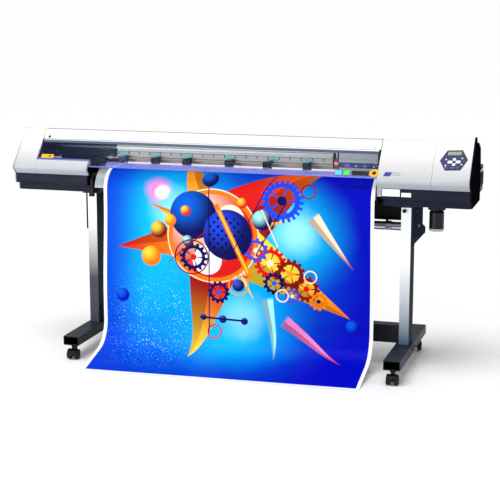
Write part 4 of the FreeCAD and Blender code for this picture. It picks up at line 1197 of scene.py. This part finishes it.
def stand():
    feet = Piece("stand_foot_tubes", DARK_PAINT, FOOT_TOP_PAINTED_LIGHT)
    feet.node("stand_feet")
    # painted light: upward faces of the feet take the lighter copy
    feet.recolor(lambda middle, normal: int(normal.z > 0.7))
    feet.place("machine", "dark_paint", 0.0025, replaces=["stand_feet"], segments=3)
    low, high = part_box("stand_feet")
    caps = Piece("foot_end_caps", BLACK)
    for x in POST_X:
        for y, side in ((low.y, -1), (high.y, 1)):
            y0, y1 = sorted((y, y - side * 0.0006))
            caps.block((x - 0.036, y0, 0.0815), (x + 0.036, y1, 0.1175))
    caps.place("machine", "black_plastic", 0.0003)
    posts = Piece("stand_post_tubes", POST_LEFT_PAINTED_SHADE, POST_RIGHT_PAINTED_SHADE, POST_SIDE_PAINTED_SHADE)
    posts.node("stand_posts")
    # painted shade: side faces take the dark side copy; each post's front takes its own darkening copy
    posts.recolor(lambda middle, normal: 2 if abs(normal.x) > 0.7 else int(middle.x > 0))
    posts.place("machine", "post_metal", 0.0022, replaces=["stand_posts"], segments=3)
    bar = Piece("crossbar_tube", DARK_PAINT)
    bar.node("crossbar")
    bar.place("machine", "dark_paint", 0.0022, replaces=["crossbar"], segments=3)
    holders = Piece("roll_holder_plates", SLATE_PAINT_AND_SHADE, STEEL)
    holders.node("roll_holders")
    rod = Vector((0.352, 0.628))
    holders.recolor(lambda middle, normal: 1 if (middle.yz - rod).length < 0.0075
                    and -0.79 < middle.x < 0.85 else None)
    holders.place("machine", "slate_paint", 0.0010, replaces=["roll_holders"])
    bolts = Piece("stand_bolt_heads", BLACK_STEEL, BLACK)
    for x, side in zip(POST_X, (-1, 1)):
        axis = X * side
        face = x + side * (0.0245 + 0.008)
        for y, z in ((0.030, 0.640), (0.088, 0.640), (0.030, 0.770), (0.088, 0.770)):
            bolts.screw((face, y, z), axis, 0.0068)
        for y in (0.030, 0.088):
            bolts.screw((x + side * 0.0405, y, 0.0995), axis, 0.0068)
    knob = [(0.004, 0), (0.004, 0.004), (0.009, 0.005), (0.009, 0.012), (0.008, 0.014), (0.002, 0.014)]
    bolts.lathe((POST_X[1] - 0.008, 0.005, 0.782), -Y, knob, 1, 24)
    bolts.place("machine", "steel_black", replaces=["stand_bolts"])



WHEEL = ((0.0045, 0.0), (0.0180, 0.0), (0.0225, 0.0006), (0.0246, 0.0030), (0.0250, 0.0090),
         (0.0246, 0.0150), (0.0225, 0.0182), (0.0180, 0.0187), (0.0170, 0.0170), (0.0110, 0.0160),
         (0.0090, 0.0186), (0.0045, 0.0190))


def casters():
    for x, side in zip(POST_X, ("left", "right")):
        for y, end in zip(CASTER_Y, ("front", "rear")):
            name = end + "_" + side
            axle = y - 0.018
            fork = Piece("caster_hood_" + name, BLACK, STEEL)
            fork.rod((x, y, 0.0705), (x, y, 0.078), 0.006, 1)
            collar = [(0.017, 0), (0.017, 0.008), (0.014, 0.0105), (0.006, 0.0105)]
            fork.lathe((x, y, 0.061), Z, collar, 0, 28)
            fork.prism(arc((axle, 0.025), 0.0275, 192, -12, 18), (x - 0.009, x + 0.009))
            fork.block((x - 0.009, axle, 0.036), (x + 0.009, y + 0.012, 0.065))
            for edge in (-1, 1):
                ring = wall_section(arc((axle, 0.025), 0.0272, 20, 160, 14), 0.0014)
                fork.prism(ring, sorted((x + edge * 0.009, x + edge * 0.026)))
            fork.rod((x - 0.029, axle, 0.025), (x + 0.029, axle, 0.025), 0.004, 1)
            fork.place("caster_fork_" + name, "black_plastic", 0.0008, replaces=["caster_fork_" + name])
            wheels = Piece("caster_wheel_pair_" + name, TREAD)
            for start, out in ((x - 0.010, -1), (x + 0.010, 1)):
                wheels.lathe((start, axle, 0.025), X * out, WHEEL, 0, 44)
            wheels.place("caster_wheels_" + name, "caster_tread", replaces=["caster_wheels_" + name])


def media_parts():
    low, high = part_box("media_shaft")
    centre = (0.185, 0.681)
    shaft = Piece("media_shaft_tube", STEEL, BLACK)
    shaft.rod((low.x, *centre), (high.x, *centre), 0.008, 0)
    shaft.rod((low.x + 0.009, *centre), (high.x - 0.009, *centre), 0.0145, 0, 0.001)
    for x in (-0.700, 0.705):
        collar = [(0.0146, 0), (0.0235, 0), (0.024, 0.001), (0.024, 0.010), (0.0232, 0.012), (0.0180, 0.0122),
                  (0.0180, 0.028), (0.0172, 0.030), (0.0146, 0.030)]
        shaft.lathe((x, *centre), X, collar)
        shaft.screw((x + 0.021, centre[0], centre[1] + 0.0175), Z, 0.0032, 1)
    shaft.place("media_shaft", "steel", replaces=["media_shaft"])
    low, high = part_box("drain_bottle")
    middle = (low + high) / 2
    bottle = Piece("drain_bottle_body", BOTTLE, BOTTLE_PALE)
    r = high.x - middle.x
    foot = (middle.x, middle.y, low.z)
    base = [(0.012, 0.002), (r - 0.006, 0.0), (r - 0.001, 0.003), (r, 0.008), (r, 0.0135)]
    body = [(r - 0.0006, 0.0135), (r - 0.0004, 0.092), (r - 0.004, 0.097), (0.024, 0.105), (0.022, 0.108),
            (0.022, 0.124), (0.012, 0.124)]
    bottle.lathe(foot, Z, base, 1)
    bottle.lathe(foot, Z, body)
    bottle.place("drain_bottle", "bottle_plastic", replaces=["drain_bottle"])


def ink_system():
    bay = Piece("ink_bay_housing", BLACK)
    bay.node("ink_bay")
    bay.place("machine", "black_plastic", 0.0010, replaces=["ink_bay"])
    colors = {"black": BLACK, "cyan": CYAN, "magenta": MAGENTA, "yellow": YELLOW}
    for name, label in colors.items():
        node = "ink_cartridge_" + name
        low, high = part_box(node)
        piece = Piece(node + "_case", CARTRIDGE, label, WHITE)
        piece.node(node)
        x = high.x - 0.0025
        y0, y1 = low.y + 0.005, high.y - 0.005
        piece.block((x - 0.0004, y0, low.z + 0.006), (x + 0.0006, y1, low.z + 0.020), 1)
        piece.block((x - 0.0004, y0, high.z - 0.020), (x + 0.0006, y1, high.z - 0.006), 2)
        piece.place(node, "cartridge_plastic", 0.0010, replaces=[node])


def dress_cad():
    """Node materials on the CAD parts that show as they are."""
    finishes = {
        "base_beam": DARK_PAINT, "platen": PLATEN, "rear_guide": DARK_PAINT, "apron": PLATEN,
        "power_inlet": BLACK, "power_switch": BLACK, "pinch_rollers": RUBBER, "loading_lever": BLACK,
        "motors": MOTOR, "drive_belt": RUBBER, "cap_station": BLACK, "main_board": BOARD,
        "drive_pulley": ALUMINIUM, "idler_pulley": ALUMINIUM,
    }
    for name, material in finishes.items():
        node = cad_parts[name]
        node.data.materials.clear()
        node.data.materials.append(material)


# ---- studio ----

def floor():
    piece = bmesh.new()
    half = 400.0
    corners = [piece.verts.new((x * half, y * half, 0)) for x, y in ((-1, -1), (1, -1), (1, 1), (-1, 1))]
    piece.faces.new(corners)
    pale = finish("floor_pale", tone(252, 252, 252), 0.55, mottle=0.004, grain=None)
    mesh_object("floor", piece, [pale])


def area_light(name, place, target, size, power):
    data = bpy.data.lights.new(name, "AREA")
    data.shape = "RECTANGLE"
    data.size, data.size_y = size
    data.energy = power
    obj = bpy.data.objects.new(name, data)
    obj.location = place
    obj.rotation_euler = (Vector(target) - Vector(place)).to_track_quat("-Z", "Y").to_euler()
    bpy.context.scene.collection.objects.link(obj)


def studio():
    world = bpy.data.worlds.new("studio")
    world.use_nodes = True
    background = world.node_tree.nodes["Background"]
    background.inputs["Color"].default_value = (1, 1, 1, 1)
    background.inputs["Strength"].default_value = 0.56
    bpy.context.scene.world = world
    sun = bpy.data.lights.new("sky", "SUN")
    sun.energy = 1.80
    sun.angle = math.radians(36)
    obj = bpy.data.objects.new("sky", sun)
    obj.rotation_euler = Vector((0.10, 0.32, -1.0)).to_track_quat("-Z", "Y").to_euler()
    bpy.context.scene.collection.objects.link(obj)
    area_light("front", (-2.2, -4.6, 1.1), (0, 0, 0.95), (2.2, 1.4), 90)
    bpy.context.scene.view_settings.view_transform = "Standard"


def camera():
    data = bpy.data.cameras.new("camera")
    data.lens = 100.3
    data.sensor_width = 36.0
    obj = bpy.data.objects.new("camera", data)
    obj.location = (1.966, -6.498, 1.887)
    obj.rotation_euler = (math.radians(90 - 11.17), 0, math.radians(16.35))
    bpy.context.scene.collection.objects.link(obj)
    bpy.context.scene.camera = obj


camera()
studio()
floor()
left_cover()
right_cover()
control_pod()
control_panel()
rear_cover()
trays()
front_cover()
side_frames()
guide_rail()
feed_unit()
carriage()
sheet()
stand()
casters()
media_parts()
ink_system()
dress_cad()
